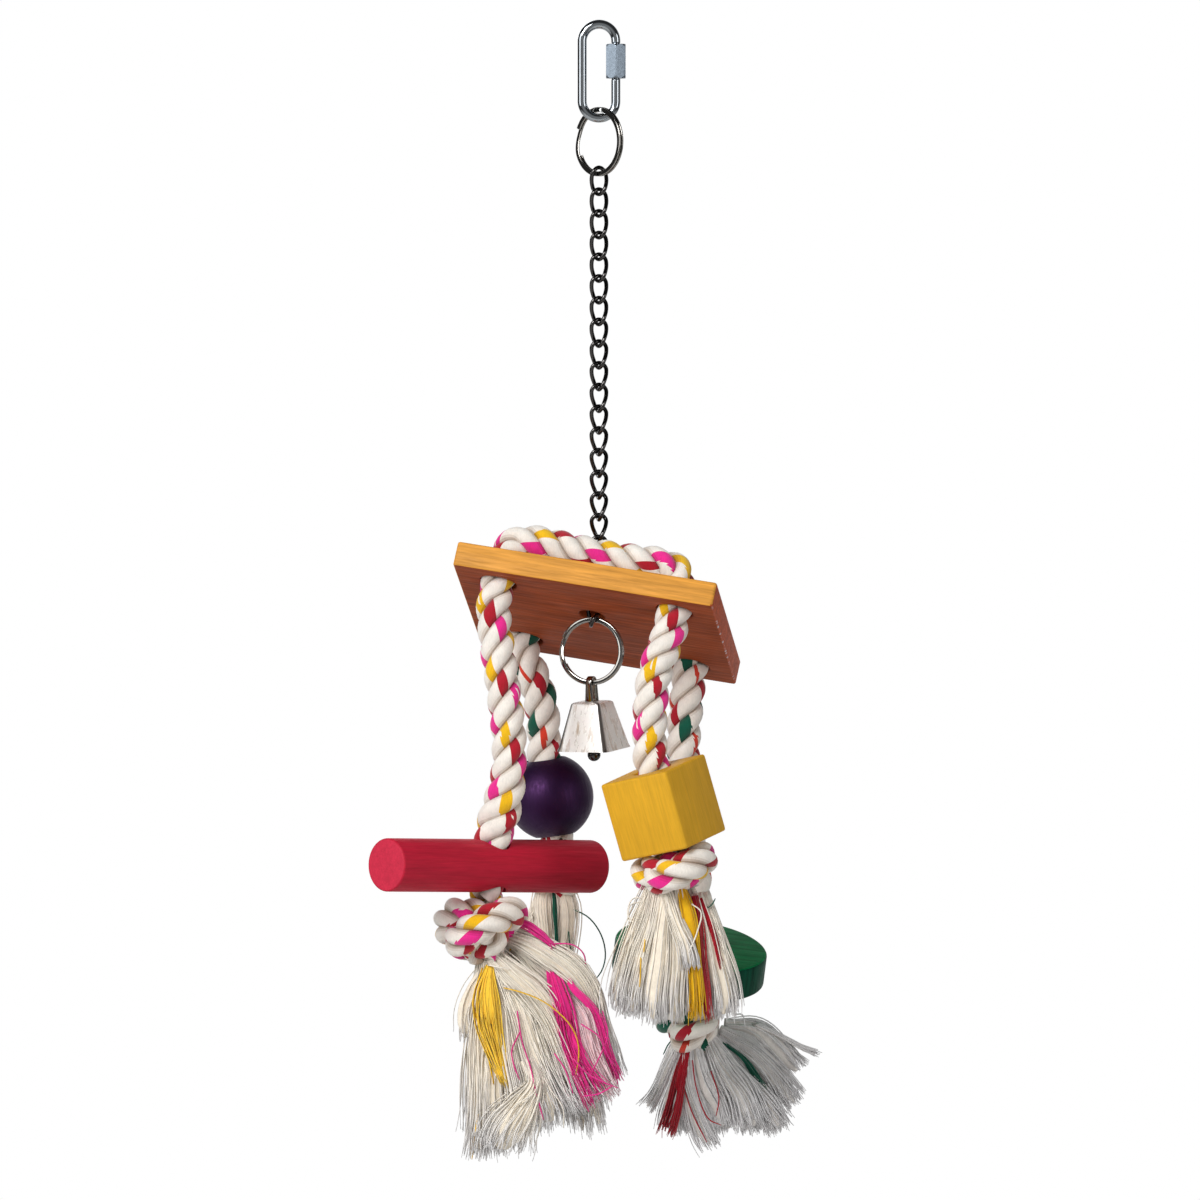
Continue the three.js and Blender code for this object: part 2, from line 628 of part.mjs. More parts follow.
function addLeg(parent, leg, level) {
  const pivot = vector(leg.hole.x, leg.hole.y, -BOARD_THICKNESS - LEG_PIVOT_BELOW_BOARD);
  const legGroup = groupAt(parent, pivot);
  legGroup.quaternion.copy(level);

  const through = vector(...leg.through).normalize();
  const into = vector(...leg.into).normalize();
  const route = leg.route.map((point) => vector(...point));
  const beadTop = route.at(-1);
  const along = (distance) => beadTop.clone().addScaledVector(through, distance);
  const beadEnd = along(leg.height);
  const lean = leg.flatSeat ? knotReach(leg.knotCoil) * Math.sin(through.angleTo(into)) : 0;
  const ropeEnd = beadEnd.clone().addScaledVector(into, lean + SEAT_GAP);
  const ropePoints = [...route, along(leg.height / 2), beadEnd];
  legGroup.add(piece(`${leg.name}_rope`, ropeLeg(ropePoints, ropeEnd, into), cotton));

  const beadGroup = groupAt(legGroup, along(leg.height / 2));
  beadGroup.quaternion.copy(hangingTurn(through, leg.beadTurn));
  beadGroup.add(piece(leg.bead, leg.shape(), leg.color));

  const knotCentre = ropeEnd.clone().addScaledVector(into, leg.knotHalf + SEAT_GAP);
  const knotGroup = groupAt(legGroup, knotCentre);
  knotGroup.quaternion.copy(hangingTurn(into, leg.knotTurn));
  knotGroup.add(piece(`${leg.name}_knot`, knot(leg.knotHalf, leg.knotCoil), cotton));

  const tasselDrop = leg.knotHalf + SEAT_GAP + TASSEL_NECK / 2;
  const tasselNeck = knotCentre.clone().addScaledVector(into, tasselDrop);
  tasselNeck.addScaledVector(vector(0, 1, 0).cross(into).normalize(), -leg.tasselAside);
  const tasselGroup = groupAt(legGroup, tasselNeck);
  tasselGroup.add(piece(`${leg.name}_tassel`, tassel(leg.tassel), cotton));
}

// Assembly, each moving piece in a group at the place that it turns about
function birdToy() {
  const toy = new THREE.Group();
  const quickLinkMesh = piece("quick_link", quickLink(), zincSteel);
  quickLinkMesh.position.z = linkCentre;
  const nutMesh = piece("link_nut", linkNut(), zincSteel);
  nutMesh.position.set(linkBow, 0, linkCentre + linkLeg / 2 - NUT_BELOW_BOW - NUT_LENGTH);
  toy.add(quickLinkMesh, nutMesh);

  const upperRing = groupAt(toy, vector(0, 0, linkCentre - linkLeg / 2 - linkBow));
  upperRing.rotation.z = radians(UPPER_RING_TURN);
  const upperMean = ringMean(UPPER_RING_OUTSIDE);
  const upperRingTop = (LINK_WIRE + RING_WIRE_WIDTH) / 2 + RING_GAP;
  const upperRingMesh = piece("upper_ring", splitRing("upper_ring", UPPER_RING_OUTSIDE), nickelSteel);
  upperRingMesh.position.z = upperRingTop - upperMean;
  upperRing.add(upperRingMesh);

  let carrier = upperRing;
  let pivot = vector(0, 0, upperRingTop - 2 * upperMean);
  let turn = CHAIN_TWIST / 2;
  let linkTop = chainOnRing;
  const freeLinks = CHAIN_LINKS - LINKS_IN_BOARD;
  for (let i = 1; i <= freeLinks; i++) {
    carrier = groupAt(carrier, pivot);
    carrier.rotation.z = radians(turn);
    const mesh = piece(`chain_link_${String(i).padStart(2, "0")}`, chainLink(), nickelSteel);
    mesh.position.z = linkTop - chainHalf;
    carrier.add(mesh);
    pivot = vector(0, 0, linkTop - 2 * chainHalf);
    turn = CHAIN_DRIFT;
    linkTop = chainSeat;
  }

  const chainTurn = UPPER_RING_TURN + CHAIN_TWIST / 2 + (freeLinks - 1) * CHAIN_DRIFT;
  const hung = groupAt(carrier, pivot);
  hung.rotation.set(radians(BOARD_PITCH), radians(BOARD_ROLL), radians(BOARD_TURN - chainTurn), "ZYX");
  let inBoardTop = chainSeat;
  for (let i = freeLinks + 1; i <= CHAIN_LINKS; i++) {
    const mesh = piece(`chain_link_${String(i).padStart(2, "0")}`, chainLink(), nickelSteel);
    mesh.position.z = inBoardTop - chainHalf;
    mesh.rotation.z = radians(chainTurn - BOARD_TURN + (i - freeLinks) * CHAIN_DRIFT);
    hung.add(mesh);
    inBoardTop += chainSeat - 2 * chainHalf;
  }
  const lastLinkBottom = inBoardTop - chainSeat;

  const slab = groupAt(hung, vector(0, 0, -PIVOT_ABOVE_BOARD));
  slab.add(piece("board", board(), honeyWood));
  slab.add(piece("front_rope_top", ropeTop(frontLeft, frontRight), cotton));
  slab.add(piece("back_rope_top", ropeTop(backLeft, backRight), cotton));

  const tilt = new THREE.Euler(radians(BOARD_PITCH), radians(BOARD_ROLL), radians(BOARD_TURN), "ZYX");
  const level = new THREE.Quaternion().setFromEuler(tilt).invert();
  legs.forEach((leg) => addLeg(slab, leg, level));

  const lowerRing = groupAt(hung, vector(0, 0, lastLinkBottom + chainOnRing));
  lowerRing.quaternion.copy(level);
  lowerRing.rotateZ(radians(LOWER_RING_TURN));
  const lowerMean = ringMean(LOWER_RING_OUTSIDE);
  const lowerRingMesh = piece("lower_ring", splitRing("lower_ring", LOWER_RING_OUTSIDE), nickelSteel);
  lowerRingMesh.position.z = -lowerMean;
  lowerRing.add(lowerRingMesh);

  const bell = groupAt(lowerRing, vector(0, 0, -2 * lowerMean));
  bell.rotation.set(radians(BELL_TILT), 0, radians(BELL_TURN), "XYZ");
  bell.add(piece("bell_shell", bellShell(), nickelSteel));
  bell.add(piece("bell_hanger", bellHanger(), nickelSteel));
  const clapperGroup = groupAt(bell, vector(0, 0, clapperPivot));
  clapperGroup.add(piece("bell_clapper", clapper(), nickelSteel));
  return toy;
}

export default birdToy();
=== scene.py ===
"""Looks of a hanging bird chew toy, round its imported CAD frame. Metres, +Z up, the front faces -Y."""

import json
import math

import bpy
import numpy as np
from mathutils import Euler, Matrix, Vector
from mathutils.geometry import tessellate_polygon


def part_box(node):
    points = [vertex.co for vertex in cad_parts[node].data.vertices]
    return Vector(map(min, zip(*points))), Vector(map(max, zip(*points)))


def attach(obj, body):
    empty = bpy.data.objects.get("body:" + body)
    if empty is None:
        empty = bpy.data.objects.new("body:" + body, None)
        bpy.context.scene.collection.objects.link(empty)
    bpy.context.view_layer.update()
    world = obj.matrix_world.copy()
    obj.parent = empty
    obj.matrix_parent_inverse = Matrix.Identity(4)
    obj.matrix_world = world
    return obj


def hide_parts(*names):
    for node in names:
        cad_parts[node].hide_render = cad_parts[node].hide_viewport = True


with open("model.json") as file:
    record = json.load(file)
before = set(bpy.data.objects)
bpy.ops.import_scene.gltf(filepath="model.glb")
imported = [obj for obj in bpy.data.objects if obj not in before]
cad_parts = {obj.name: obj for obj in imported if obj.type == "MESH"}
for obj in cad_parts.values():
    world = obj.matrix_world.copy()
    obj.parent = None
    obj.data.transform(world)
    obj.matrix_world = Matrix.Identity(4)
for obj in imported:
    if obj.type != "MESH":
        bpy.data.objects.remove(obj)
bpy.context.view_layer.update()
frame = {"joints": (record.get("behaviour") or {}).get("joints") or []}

MM = 0.001
JOINTS = {joint["name"]: joint for joint in frame["joints"]}

# Camera, level and far off, and the room round the toy
CAMERA_PLACE = (0.00038, -5.0, -0.2155)
CAMERA_WIDTH = 0.4528
SENSOR = 36.0
FLOOR_HEIGHT = -0.62
FLOOR_RADIUS = 1.6
FLOOR_SIDES = 96
FLOOR_FADE = (0.35, 0.95)
FLOOR_COLOUR = "E9E8E6"
ROOM_LIGHT = (0.1, 0.26)
ROOM_SEEN = [(0, 0.3), (0.05, 0.2), (0.13, 0.04), (0.8, 0.04), (0.96, 1.0)]
LAMPS = [
    ("key", (-1.3, -2.4, 1.2), (1.2, 1.2), 64),
    ("left", (-2.26, -1.48, 0.3), (1.4, 1.6), 17),
    ("fill", (2.2, -1.8, 0.1), (0.9, 1.6), 14),
    ("side_wall", (2.0, 1.45, 0.25), (1.2, 1.6), 2.2),
    ("back", (-0.9, 2.6, 0.9), (1.4, 1.4), 14),
]

# Colours, as they look under plain light, but for the painted light and shade marked below
COTTON = "F5EEE5"
HANK = "FAF2E4"
HANK_TIP = "EFEDEE"
HANK_COOL = "F6F4F4"
PINK = "EE2C93"
CRIMSON = "B3182B"
YELLOW = "F2BE16"
PALE_YELLOW = "FFD546"
BLUSH = "F9DCE0"
DARK_GREEN = "0A5A46"
ORANGE_RED = "D9402B"
HONEY = "E19C3E"
HONEY_END = "B64B1C"
CHIPPED = "CFC2C8"
# Painted shade: a darker, redder copy of the honey stain for the board's underside and hole walls
HONEY_SHADED_UNDER = "A84C1F"
RED_WOOD = "BE1936"
# Painted light: a paler copy of the red stain for the dowel's ends
RED_WOOD_LIT_END = "C82A45"
MUSTARD = "DBA524"
PURPLE = "0F031A"
PURPLE_SHINE = "D890F4"
GREEN_TOP = "028048"
# Painted shade: a darker copy of the green stain for the disc's rim
GREEN_SHADED_SIDE = "024431"
ZINC = "B2B8BD"
ZINC_NUT = "7F8A95"
NICKEL = "A3A09B"
BELL_SHEET = "F6F4F0"
BELL_TARNISH = "C9B9A8"
DARK_NICKEL = "52504F"
# Painted shade for the dark bands down the bell's corners
BELL_CORNER_SHADE = "2A211C"

# Patterns of the materials: how often they repeat in a metre, and the part of a noise that is used
BLOTCHES = 260
FIBRES = (2600, 2600, 500)
GRAIN_ACROSS = 420
GRAIN_ALONG = 26
PORES = (3.2, 3.4)
STAIN_PATCHES = 38
CHIPS = (90, 420, 90)
BELL_STREAKS = (520, 520, 40)
NOISE_RANGE = (0.3, 0.7)
BUMP_DEPTH = 0.0003
PIT_DEPTH = 0.0002
BELL_METAL = 0.35
# Where the painted corner shade starts and ends, as a share of the way to a corner, and how strong it gets
BELL_CORNER_SHADE_EDGE = (0.8, 0.92)
BELL_CORNER_SHADE_SHARE = 0.92


def linear(code, share=1.0):
    """A linear RGBA colour from a six-digit sRGB code."""
    values = [int(code[i:i + 2], 16) / 255 for i in (0, 2, 4)]
    curve = [v / 12.92 if v <= 0.04045 else ((v + 0.055) / 1.055) ** 2.4 for v in values]
    return (*(share * v for v in curve), 1.0)


def pivot_of(joint):
    return Vector(JOINTS[joint]["pos_m"])


def turned(degrees, axis="Z"):
    return Matrix.Rotation(math.radians(degrees), 4, axis)


# Node materials
class Nodes:
    """A short way to write a material's nodes. A value is a constant, or another node's output."""

    def __init__(self, tree):
        self.tree = tree

    def add(self, kind, output=0, settings=None, **inputs):
        node = self.tree.nodes.new(f"ShaderNode{kind}")
        for name, value in (settings or {}).items():
            setattr(node, name, value)
        self.fill(node, **inputs)
        return node.outputs[output]

    def fill(self, node, **inputs):
        """Each input goes by its name, with _ for a space, or by its number after a _."""
        for name, value in inputs.items():
            socket = node.inputs[int(name[1:]) if name[1:].isdigit() else name.replace("_", " ")]
            if isinstance(value, bpy.types.NodeSocket):
                self.tree.links.new(value, socket)
            else:
                socket.default_value = value

    def ramp(self, factor, stops):
        node = self.tree.nodes.new("ShaderNodeValToRGB")
        ramp = node.color_ramp
        while len(ramp.elements) < len(stops):
            ramp.elements.new(0.5)
        for element, (place, colour) in zip(ramp.elements, stops):
            element.position = place
            element.color = colour
        self.tree.links.new(factor, node.inputs["Fac"])
        return node.outputs["Color"]

    def noise(self, place, scale, detail=4.0, roughness=0.55):
        return self.add("TexNoise", Vector=place, Scale=scale, Detail=detail, Roughness=roughness)

    def stretched(self, scale):
        place = self.add("TexCoord", "Object")
        return self.add("Mapping", Vector=place, Scale=scale)

    def between(self, value, low, high, low_out, high_out):
        return self.add("MapRange", Value=value, From_Min=low, From_Max=high,
                        To_Min=low_out, To_Max=high_out)

    def varied(self, noise, low, high):
        return self.between(noise, *NOISE_RANGE, low, high)

    def maths(self, operation, *values):
        inputs = {f"_{k}": value for k, value in enumerate(values)}
        return self.add("Math", settings={"operation": operation}, **inputs)

    def mixed(self, factor, first, second, blend="MIX"):
        settings = {"data_type": "RGBA", "blend_type": blend}
        return self.add("Mix", 2, settings, _0=factor, _6=first, _7=second)

    def bump(self, height, strength, depth):
        return self.add("Bump", Height=height, Strength=strength, Distance=depth)


def material(name):
    """A new material, its nodes and its Principled shader."""
    made = bpy.data.materials.new(name)
    made.use_nodes = True
    shader = made.node_tree.nodes["Principled BSDF"]
    return made, Nodes(made.node_tree), shader


def cotton_material(name, softness, reach):
    """Soft cotton, coloured yarn by yarn. Light spreads inside it as far as its reach, in metres."""
    made, nodes, shader = material(name)
    yarn = nodes.add("VertexColor", settings={"layer_name": "Col"})
    place = nodes.add("TexCoord", "Object")
    blotch = nodes.varied(nodes.noise(place, BLOTCHES, 3), 0.9, 1.04)
    fibre = nodes.noise(nodes.stretched(FIBRES), 1, 3)
    tone = nodes.maths("MULTIPLY", blotch, nodes.varied(fibre, 0.92, 1.05))
    nodes.fill(shader, Base_Color=nodes.mixed(1.0, yarn, tone, "MULTIPLY"), Roughness=0.88,
               Specular_IOR_Level=0.2, Sheen_Weight=0.3, Subsurface_Weight=softness,
               Subsurface_Radius=(1.0, 0.9, 0.8), Subsurface_Scale=reach,
               Normal=nodes.bump(fibre, 0.35, BUMP_DEPTH))
    return made


def wood_material(name, colour, grain, scale=1.0, gloss=0.5, contrast=0.35, shine=0.22, tint="FFFFFF"):
    """Stained wood. Its grain runs along the given axis of the piece: 0, 1 or 2."""
    made, nodes, shader = material(name)
    across, along = GRAIN_ACROSS * scale, GRAIN_ALONG * scale
    broad = [across] * 3
    broad[grain] = along
    fine = [PORES[0] * across] * 3
    fine[grain] = PORES[1] * along
    lines = nodes.noise(nodes.stretched(broad), 1, 6, 0.62)
    pores = nodes.noise(nodes.stretched(fine), 1, 3, 0.5)
    patches = nodes.noise(nodes.stretched((STAIN_PATCHES * scale,) * 3), 1, 3, 0.5)
    stain = nodes.ramp(lines, [
        (0.28, linear(colour, 1 - contrast)),
        (0.5, linear(colour)),
        (0.74, linear(colour, 1 + contrast)),
    ])
    dust = nodes.between(pores, 0.3, 0.62, 1 - 0.6 * contrast, 1.04)
    cloud = nodes.varied(patches, 1 - 0.4 * contrast, 1 + 0.3 * contrast)
    tone = nodes.maths("MULTIPLY", dust, cloud)
    nodes.fill(shader, Base_Color=nodes.mixed(1.0, stain, tone, "MULTIPLY"),
               Roughness=nodes.varied(pores, gloss + 0.12, gloss - 0.06), Specular_IOR_Level=shine,
               Specular_Tint=linear(tint), Normal=nodes.bump(pores, 0.28, BUMP_DEPTH))
    return made


def worn_material(name, colour, chipped):
    """A stained edge whose finish is chipped off in places."""
    made, nodes, shader = material(name)
    chips = nodes.noise(nodes.stretched(CHIPS), 1, 3, 0.6)
    stain = nodes.ramp(chips, [(0.54, linear(colour)), (0.6, linear(chipped))])
    nodes.fill(shader, Base_Color=stain, Roughness=0.6)
    return made


def metal_material(name, colour, rough, spread, grain=900):
    """Plated metal with faint smears and pits."""
    made, nodes, shader = material(name)
    place = nodes.add("TexCoord", "Object")
    smear = nodes.noise(place, grain, 4, 0.6)
    stain = nodes.ramp(smear, list(zip(NOISE_RANGE, (linear(colour, 0.9), linear(colour, 1.06)))))
    nodes.fill(shader, Base_Color=stain, Metallic=1.0,
               Roughness=nodes.varied(smear, rough - spread, rough + spread),
               Normal=nodes.bump(smear, 0.015, PIT_DEPTH))
    return made


def bell_material():
    """Worn nickel with streaks down its sides, and painted shade in dark bands down its corners."""
    made, nodes, shader = material("bell_nickel")
    place = nodes.add("TexCoord", "Object")
    streak = nodes.noise(nodes.stretched(BELL_STREAKS), 1, 3, 0.55)
    sheet = nodes.ramp(streak, [(0.3, linear(BELL_TARNISH)), (0.48, linear(BELL_SHEET))])
    across = nodes.maths("ABSOLUTE", nodes.add("SeparateXYZ", "X", Vector=place))
    along = nodes.maths("ABSOLUTE", nodes.add("SeparateXYZ", "Y", Vector=place))
    lesser = nodes.maths("MINIMUM", across, along)
    greater = nodes.maths("MAXIMUM", across, along)
    near_corner = nodes.maths("DIVIDE", lesser, greater)
    # Painted shade: dark bands down the corners
    painted_corner_shade = nodes.between(near_corner, *BELL_CORNER_SHADE_EDGE, 0.0, BELL_CORNER_SHADE_SHARE)
    nodes.fill(shader, Base_Color=nodes.mixed(painted_corner_shade, sheet, linear(BELL_CORNER_SHADE)), Metallic=BELL_METAL,
               Roughness=nodes.varied(streak, 0.24, 0.32))
    return made


cotton = cotton_material("cotton", 0.3, 0.0015)
loose_cotton = cotton_material("loose_cotton", 0.0, 0.0015)
honey_wood = wood_material("honey_wood", HONEY, 0, gloss=0.5, contrast=0.3)
honey_end = wood_material("honey_wood_end", HONEY_END, 0, gloss=0.6, contrast=0.3)
honey_worn = worn_material("honey_wood_worn", HONEY_END, CHIPPED)
# Painted shade: a darker, redder copy of the honey stain for the board's underside and hole walls
honey_shaded_under = wood_material("honey_wood_shaded_under", HONEY_SHADED_UNDER, 0, gloss=0.6, contrast=0.4)
red_wood = wood_material("red_wood", RED_WOOD, 0, gloss=0.52, contrast=0.16)
red_wood_lit_end = wood_material("red_wood_lit_end", RED_WOOD_LIT_END, 0, gloss=0.6, contrast=0.12)
yellow_wood = wood_material("yellow_wood", MUSTARD, 2, scale=1.6, gloss=0.5, contrast=0.1)
purple_wood = wood_material("purple_wood", PURPLE, 2, gloss=0.46, contrast=0.3, shine=0.75,
                            tint=PURPLE_SHINE)
green_top = wood_material("green_wood", GREEN_TOP, 0, gloss=0.55, contrast=0.4, shine=0.08)
# Painted shade: the disc's rim, a darker copy of the green stain, its grain along the disc's axis
green_shaded_side = wood_material("green_wood_shaded_side", GREEN_SHADED_SIDE, 2, scale=1.4, gloss=0.5, contrast=0.45,
                           shine=0.1)
zinc = metal_material("zinc", ZINC, 0.09, 0.015, 150)
zinc_nut = metal_material("zinc_nut", ZINC_NUT, 0.34, 0.12, 1100)
nickel = metal_material("nickel", NICKEL, 0.08, 0.015, 200)
bell_nickel = bell_material()
dark_nickel = metal_material("dark_nickel", DARK_NICKEL, 0.08, 0.015, 200)


# Paths and meshes, in numpy until they are Blender's
def unit(vectors):
    return vectors / np.linalg.norm(vectors, axis=-1, keepdims=True)


def smooth_curve(points, samples=24):
    """A centripetal Catmull-Rom curve through the points, as the CAD part's curves are."""
    inner = np.array(points, float)
    whole = np.vstack([2 * inner[0] - inner[1], inner, 2 * inner[-1] - inner[-2]])
    gaps = np.sqrt(np.linalg.norm(np.diff(whole, axis=0), axis=1))
    t = np.linspace(0, 1, samples, endpoint=False)[:, None]
    pieces = []
    for i in range(len(inner) - 1):
        a, b, c, d = whole[i:i + 4]
        before, here, after = gaps[i:i + 3]
        leave = here * ((b - a) / before - (c - a) / (before + here) + (c - b) / here)
        arrive = here * ((c - b) / here - (d - b) / (here + after) + (d - c) / after)
        cubic = 2 * b - 2 * c + leave + arrive
        square = 3 * c - 3 * b - 2 * leave - arrive
        pieces.append(((cubic * t + square) * t + leave) * t + b)
    return np.vstack([*pieces, inner[-1:]])


def spaced(line, count):
    """The line again as count points, evenly spaced. Values after its x, y and z are carried along."""
    steps = np.linalg.norm(np.diff(line[:, :3], axis=0), axis=1)
    along = np.concatenate([[0], np.cumsum(steps)])
    at = np.linspace(0, along[-1], count)
    return np.stack([np.interp(at, along, line[:, k]) for k in range(line.shape[1])], axis=1)


def profile_along(count, stops):
    """Values at count even places from 0 to 1, between stops of place and value."""
    return np.interp(np.linspace(0, 1, count), *zip(*stops))


def length_of(line):
    return float(np.linalg.norm(np.diff(line, axis=0), axis=1).sum())


def carried_frames(line):
    """The line's directions and two square to them that turn as little as they can."""
    forward = unit(np.gradient(line, axis=0))
    side = np.cross(forward[0], (0.0, 1.0, 0.0))
    if np.linalg.norm(side) < 0.2:
        side = np.cross(forward[0], (1.0, 0.0, 0.0))
    sides = []
    for direction in forward:
        side = side - direction * side.dot(direction)
        side = side / np.linalg.norm(side)
        sides.append(side)
    sides = np.array(sides)
    return forward, sides, np.cross(forward, sides)


def grid_faces(rings, columns, closed=False):
    """Triangles of a tube of rings, split along the diagonal that runs back as the tube goes on."""
    last = rings if closed else rings - 1
    i, k = np.meshgrid(np.arange(last), np.arange(columns), indexing="ij")
    following, beside = (i + 1) % rings, (k + 1) % columns
    a, b = i * columns + k, i * columns + beside
    c, d = following * columns + k, following * columns + beside
    return np.stack([np.stack([a, b, c], -1), np.stack([b, d, c], -1)], 2).reshape(-1, 3)


def cap_faces(rings, columns):
    """Fans over a tube's two ends."""
    k = np.arange(1, columns - 1)
    first = np.stack([np.zeros_like(k), k + 1, k], -1)
    final = np.stack([np.zeros_like(k), k, k + 1], -1) + (rings - 1) * columns
    return np.vstack([first, final])


def tube_faces(rings, columns, closed=False):
    walls = grid_faces(rings, columns, closed)
    return walls if closed else np.vstack([walls, cap_faces(rings, columns)])


def swept(centres, across, up, section):
    """A tube's points: each ring is the section's points along two directions about its centre."""
    x, y = section[..., 0, None], section[..., 1, None]
    return (centres[:, None] + across[:, None] * x + up[:, None] * y).reshape(-1, 3)


def round_section(radius, sides):
    angle = np.arange(sides) * 2 * np.pi / sides
    return radius * np.stack([np.cos(angle), np.sin(angle)], -1)


def squared_section(sides, power):
    """A section of unit radius whose corners fill out as its power falls below 1."""
    section = round_section(1.0, sides)
    return np.sign(section) * np.abs(section) ** power


def new_object(name, points, faces, look, place=None, corner_colours=None, sharp=None):
    """A smooth-shaded mesh object. sharp is the angle, in degrees, over which an edge stays crisp."""
    mesh = bpy.data.meshes.new(name)
    mesh.from_pydata(np.asarray(points).tolist(), [], np.asarray(faces).tolist())
    mesh.polygons.foreach_set("use_smooth", [True] * len(mesh.polygons))
    if sharp is not None:
        mesh.set_sharp_from_angle(angle=math.radians(sharp))
    if corner_colours is not None:
        layer = mesh.color_attributes.new("Col", "FLOAT_COLOR", "CORNER")
        layer.data.foreach_set("color", np.asarray(corner_colours, np.float32).ravel())
    mesh.materials.append(look)
    made = bpy.data.objects.new(name, mesh)
    bpy.context.scene.collection.objects.link(made)
    if place is not None:
        made.matrix_world = place
    return made


def dress(piece, body, slot, *nodes):
    """The piece rides on a body and stands for CAD nodes, which it hides. The slot is not used."""
    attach(piece, body)
    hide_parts(*nodes)
    return piece


# Camera, light and room
def make_camera():
    data = bpy.data.cameras.new("camera")
    data.sensor_width = SENSOR
    data.lens = SENSOR * -CAMERA_PLACE[1] / CAMERA_WIDTH
    camera = bpy.data.objects.new("camera", data)
    camera.location = CAMERA_PLACE
    camera.rotation_euler = (math.radians(90), 0, 0)
    bpy.context.scene.collection.objects.link(camera)
    bpy.context.scene.camera = camera


def make_light(name, place, size, power):
    data = bpy.data.lights.new(name, "AREA")
    data.shape = "RECTANGLE"
    data.size, data.size_y = size
    data.energy = power
    light = bpy.data.objects.new(name, data)
    light.location = place
    aim = Vector((0, 0, CAMERA_PLACE[2])) - light.location
    light.rotation_euler = aim.to_track_quat("-Z", "Y").to_euler()
    bpy.context.scene.collection.objects.link(light)


def make_world():
    """White to the camera. Reflections show that backdrop, dark sides and a dim front."""
    world = bpy.data.worlds.new("room")
    world.use_nodes = True
    world.node_tree.nodes.clear()
    nodes = Nodes(world.node_tree)
    rays = nodes.tree.nodes.new("ShaderNodeLightPath").outputs
    direction = nodes.add("TexCoord", "Generated")
    behind = nodes.add("SeparateXYZ", "Y", Vector=direction)
    above = nodes.add("SeparateXYZ", "Z", Vector=direction)
    seen = nodes.add("Background", Color=(1, 1, 1, 1), Strength=1.0)
    depth = nodes.between(behind, -1, 1, 0, 1)
    walls = nodes.ramp(depth, [(place, (level, level, level, 1)) for place, level in ROOM_SEEN])
    mirrored = nodes.add("Background", Color=walls, Strength=1.0)
    level = nodes.between(above, -1, 1, *ROOM_LIGHT)
    room = nodes.add("Background", Color=(1, 1, 1, 1), Strength=level)
    shiny = nodes.maths("MAXIMUM", rays["Is Glossy Ray"], rays["Is Transmission Ray"])
    lit = nodes.add("MixShader", _0=shiny, _1=room, _2=mirrored)
    whole = nodes.add("MixShader", _0=rays["Is Camera Ray"], _1=lit, _2=seen)
    output = nodes.tree.nodes.new("ShaderNodeOutputWorld")
    nodes.fill(output, Surface=whole)
    bpy.context.scene.world = world


def make_floor():
    """A pale floor that fades out towards its edge."""
    made, nodes, shader = material("floor")
    place = nodes.add("TexCoord", "Object")
    out = nodes.add("VectorMath", "Value", {"operation": "LENGTH"}, _0=place)
    fade = [share * FLOOR_RADIUS for share in FLOOR_FADE]
    nodes.fill(shader, Base_Color=linear(FLOOR_COLOUR), Roughness=0.9, Specular_IOR_Level=0.1,
               Alpha=nodes.between(out, *fade, 1.0, 0.0))
    rim = np.pad(round_section(FLOOR_RADIUS, FLOOR_SIDES), ((0, 0), (0, 1)))
    fan = [(0, k, k + 1) for k in range(1, FLOOR_SIDES - 1)]
    floor = new_object("floor", rim, fan, made, Matrix.Translation((0, 0, FLOOR_HEIGHT)))


make_camera()
make_world()
make_floor()
for lamp in LAMPS:
    make_light(*lamp)
bpy.context.scene.view_settings.view_transform = "Standard"

# Board: its size and lie, from the CAD part. Its frame's origin is the chain hole's middle, on top.
BOARD_SIZE = (100, 87, 9.5)
BOARD_LIE = (-20.4, 9, -10.2)
CHAIN_HOLE = 10
CHAIN_HOLE_FORWARD = 10
ROPE_HOLE = 14
HOLES = {"dowel": (-34, -20), "cube": (34, -20), "ball": (-31, 40), "disc": (34, 40)}
LEG_PIVOT_DEPTH = 13.5
BOARD_CORNER = 1.2
BOARD_EDGE = 0.7
HOLES_REACH = 0.46
HOLE_WALL_UP = 0.5
WORN_EDGE_OUT = 0.3
WORN_EDGE_UP = (-0.97, -0.1)
FACING = 0.9

# Beads, from the CAD part
BORE = 7.1
BORE_SEGMENTS = 72
CUBE_SIDE = 30
CUBE_CORNER = 1.5
CUBE_EDGE = 1
BALL_RADIUS = 16.5
BALL_RIM = 0.6
BALL_RINGS = 40
BALL_SEGMENTS = 72
DISC_RADIUS = 29
DISC_HEIGHT = 12.5
DISC_EDGE = 1.2
DISC_RIM = 0.4
DISC_FACING = 0.6
DISC_SEGMENTS = 120
DOWEL_RADIUS = 10
DOWEL_LENGTH = 107.5
DOWEL_EDGE = 0.8
DOWEL_END_FACING = 0.95
DOWEL_SEGMENTS = 96

board_turn = Euler([math.radians(angle) for angle in BOARD_LIE], "XYZ").to_matrix()
first_hole = Vector((*HOLES["dowel"], -LEG_PIVOT_DEPTH)) * MM
board_origin = pivot_of("dowel_leg_swing") - board_turn @ first_hole
BOARD_PLACE = Matrix.Translation(board_origin) @ board_turn.to_4x4()

# Ropes: three strands laid up to the right, of yarns that lie along the rope
ROPE = 13.2
KNOTTED_ROPE = 12.6
ROPE_LAY = 2.05
STRAND_OUT = 0.262
STRAND_RADIUS = 0.243
YARN_COLUMNS = 20
RINGS_PER_LAY = 64
YARN_RIDGE = 0.016
FLECK_STEP = 12
FLECK_SHIFT = 1.3
FLECK_STRIPE = 2
FLECK_PARTED = 0.65
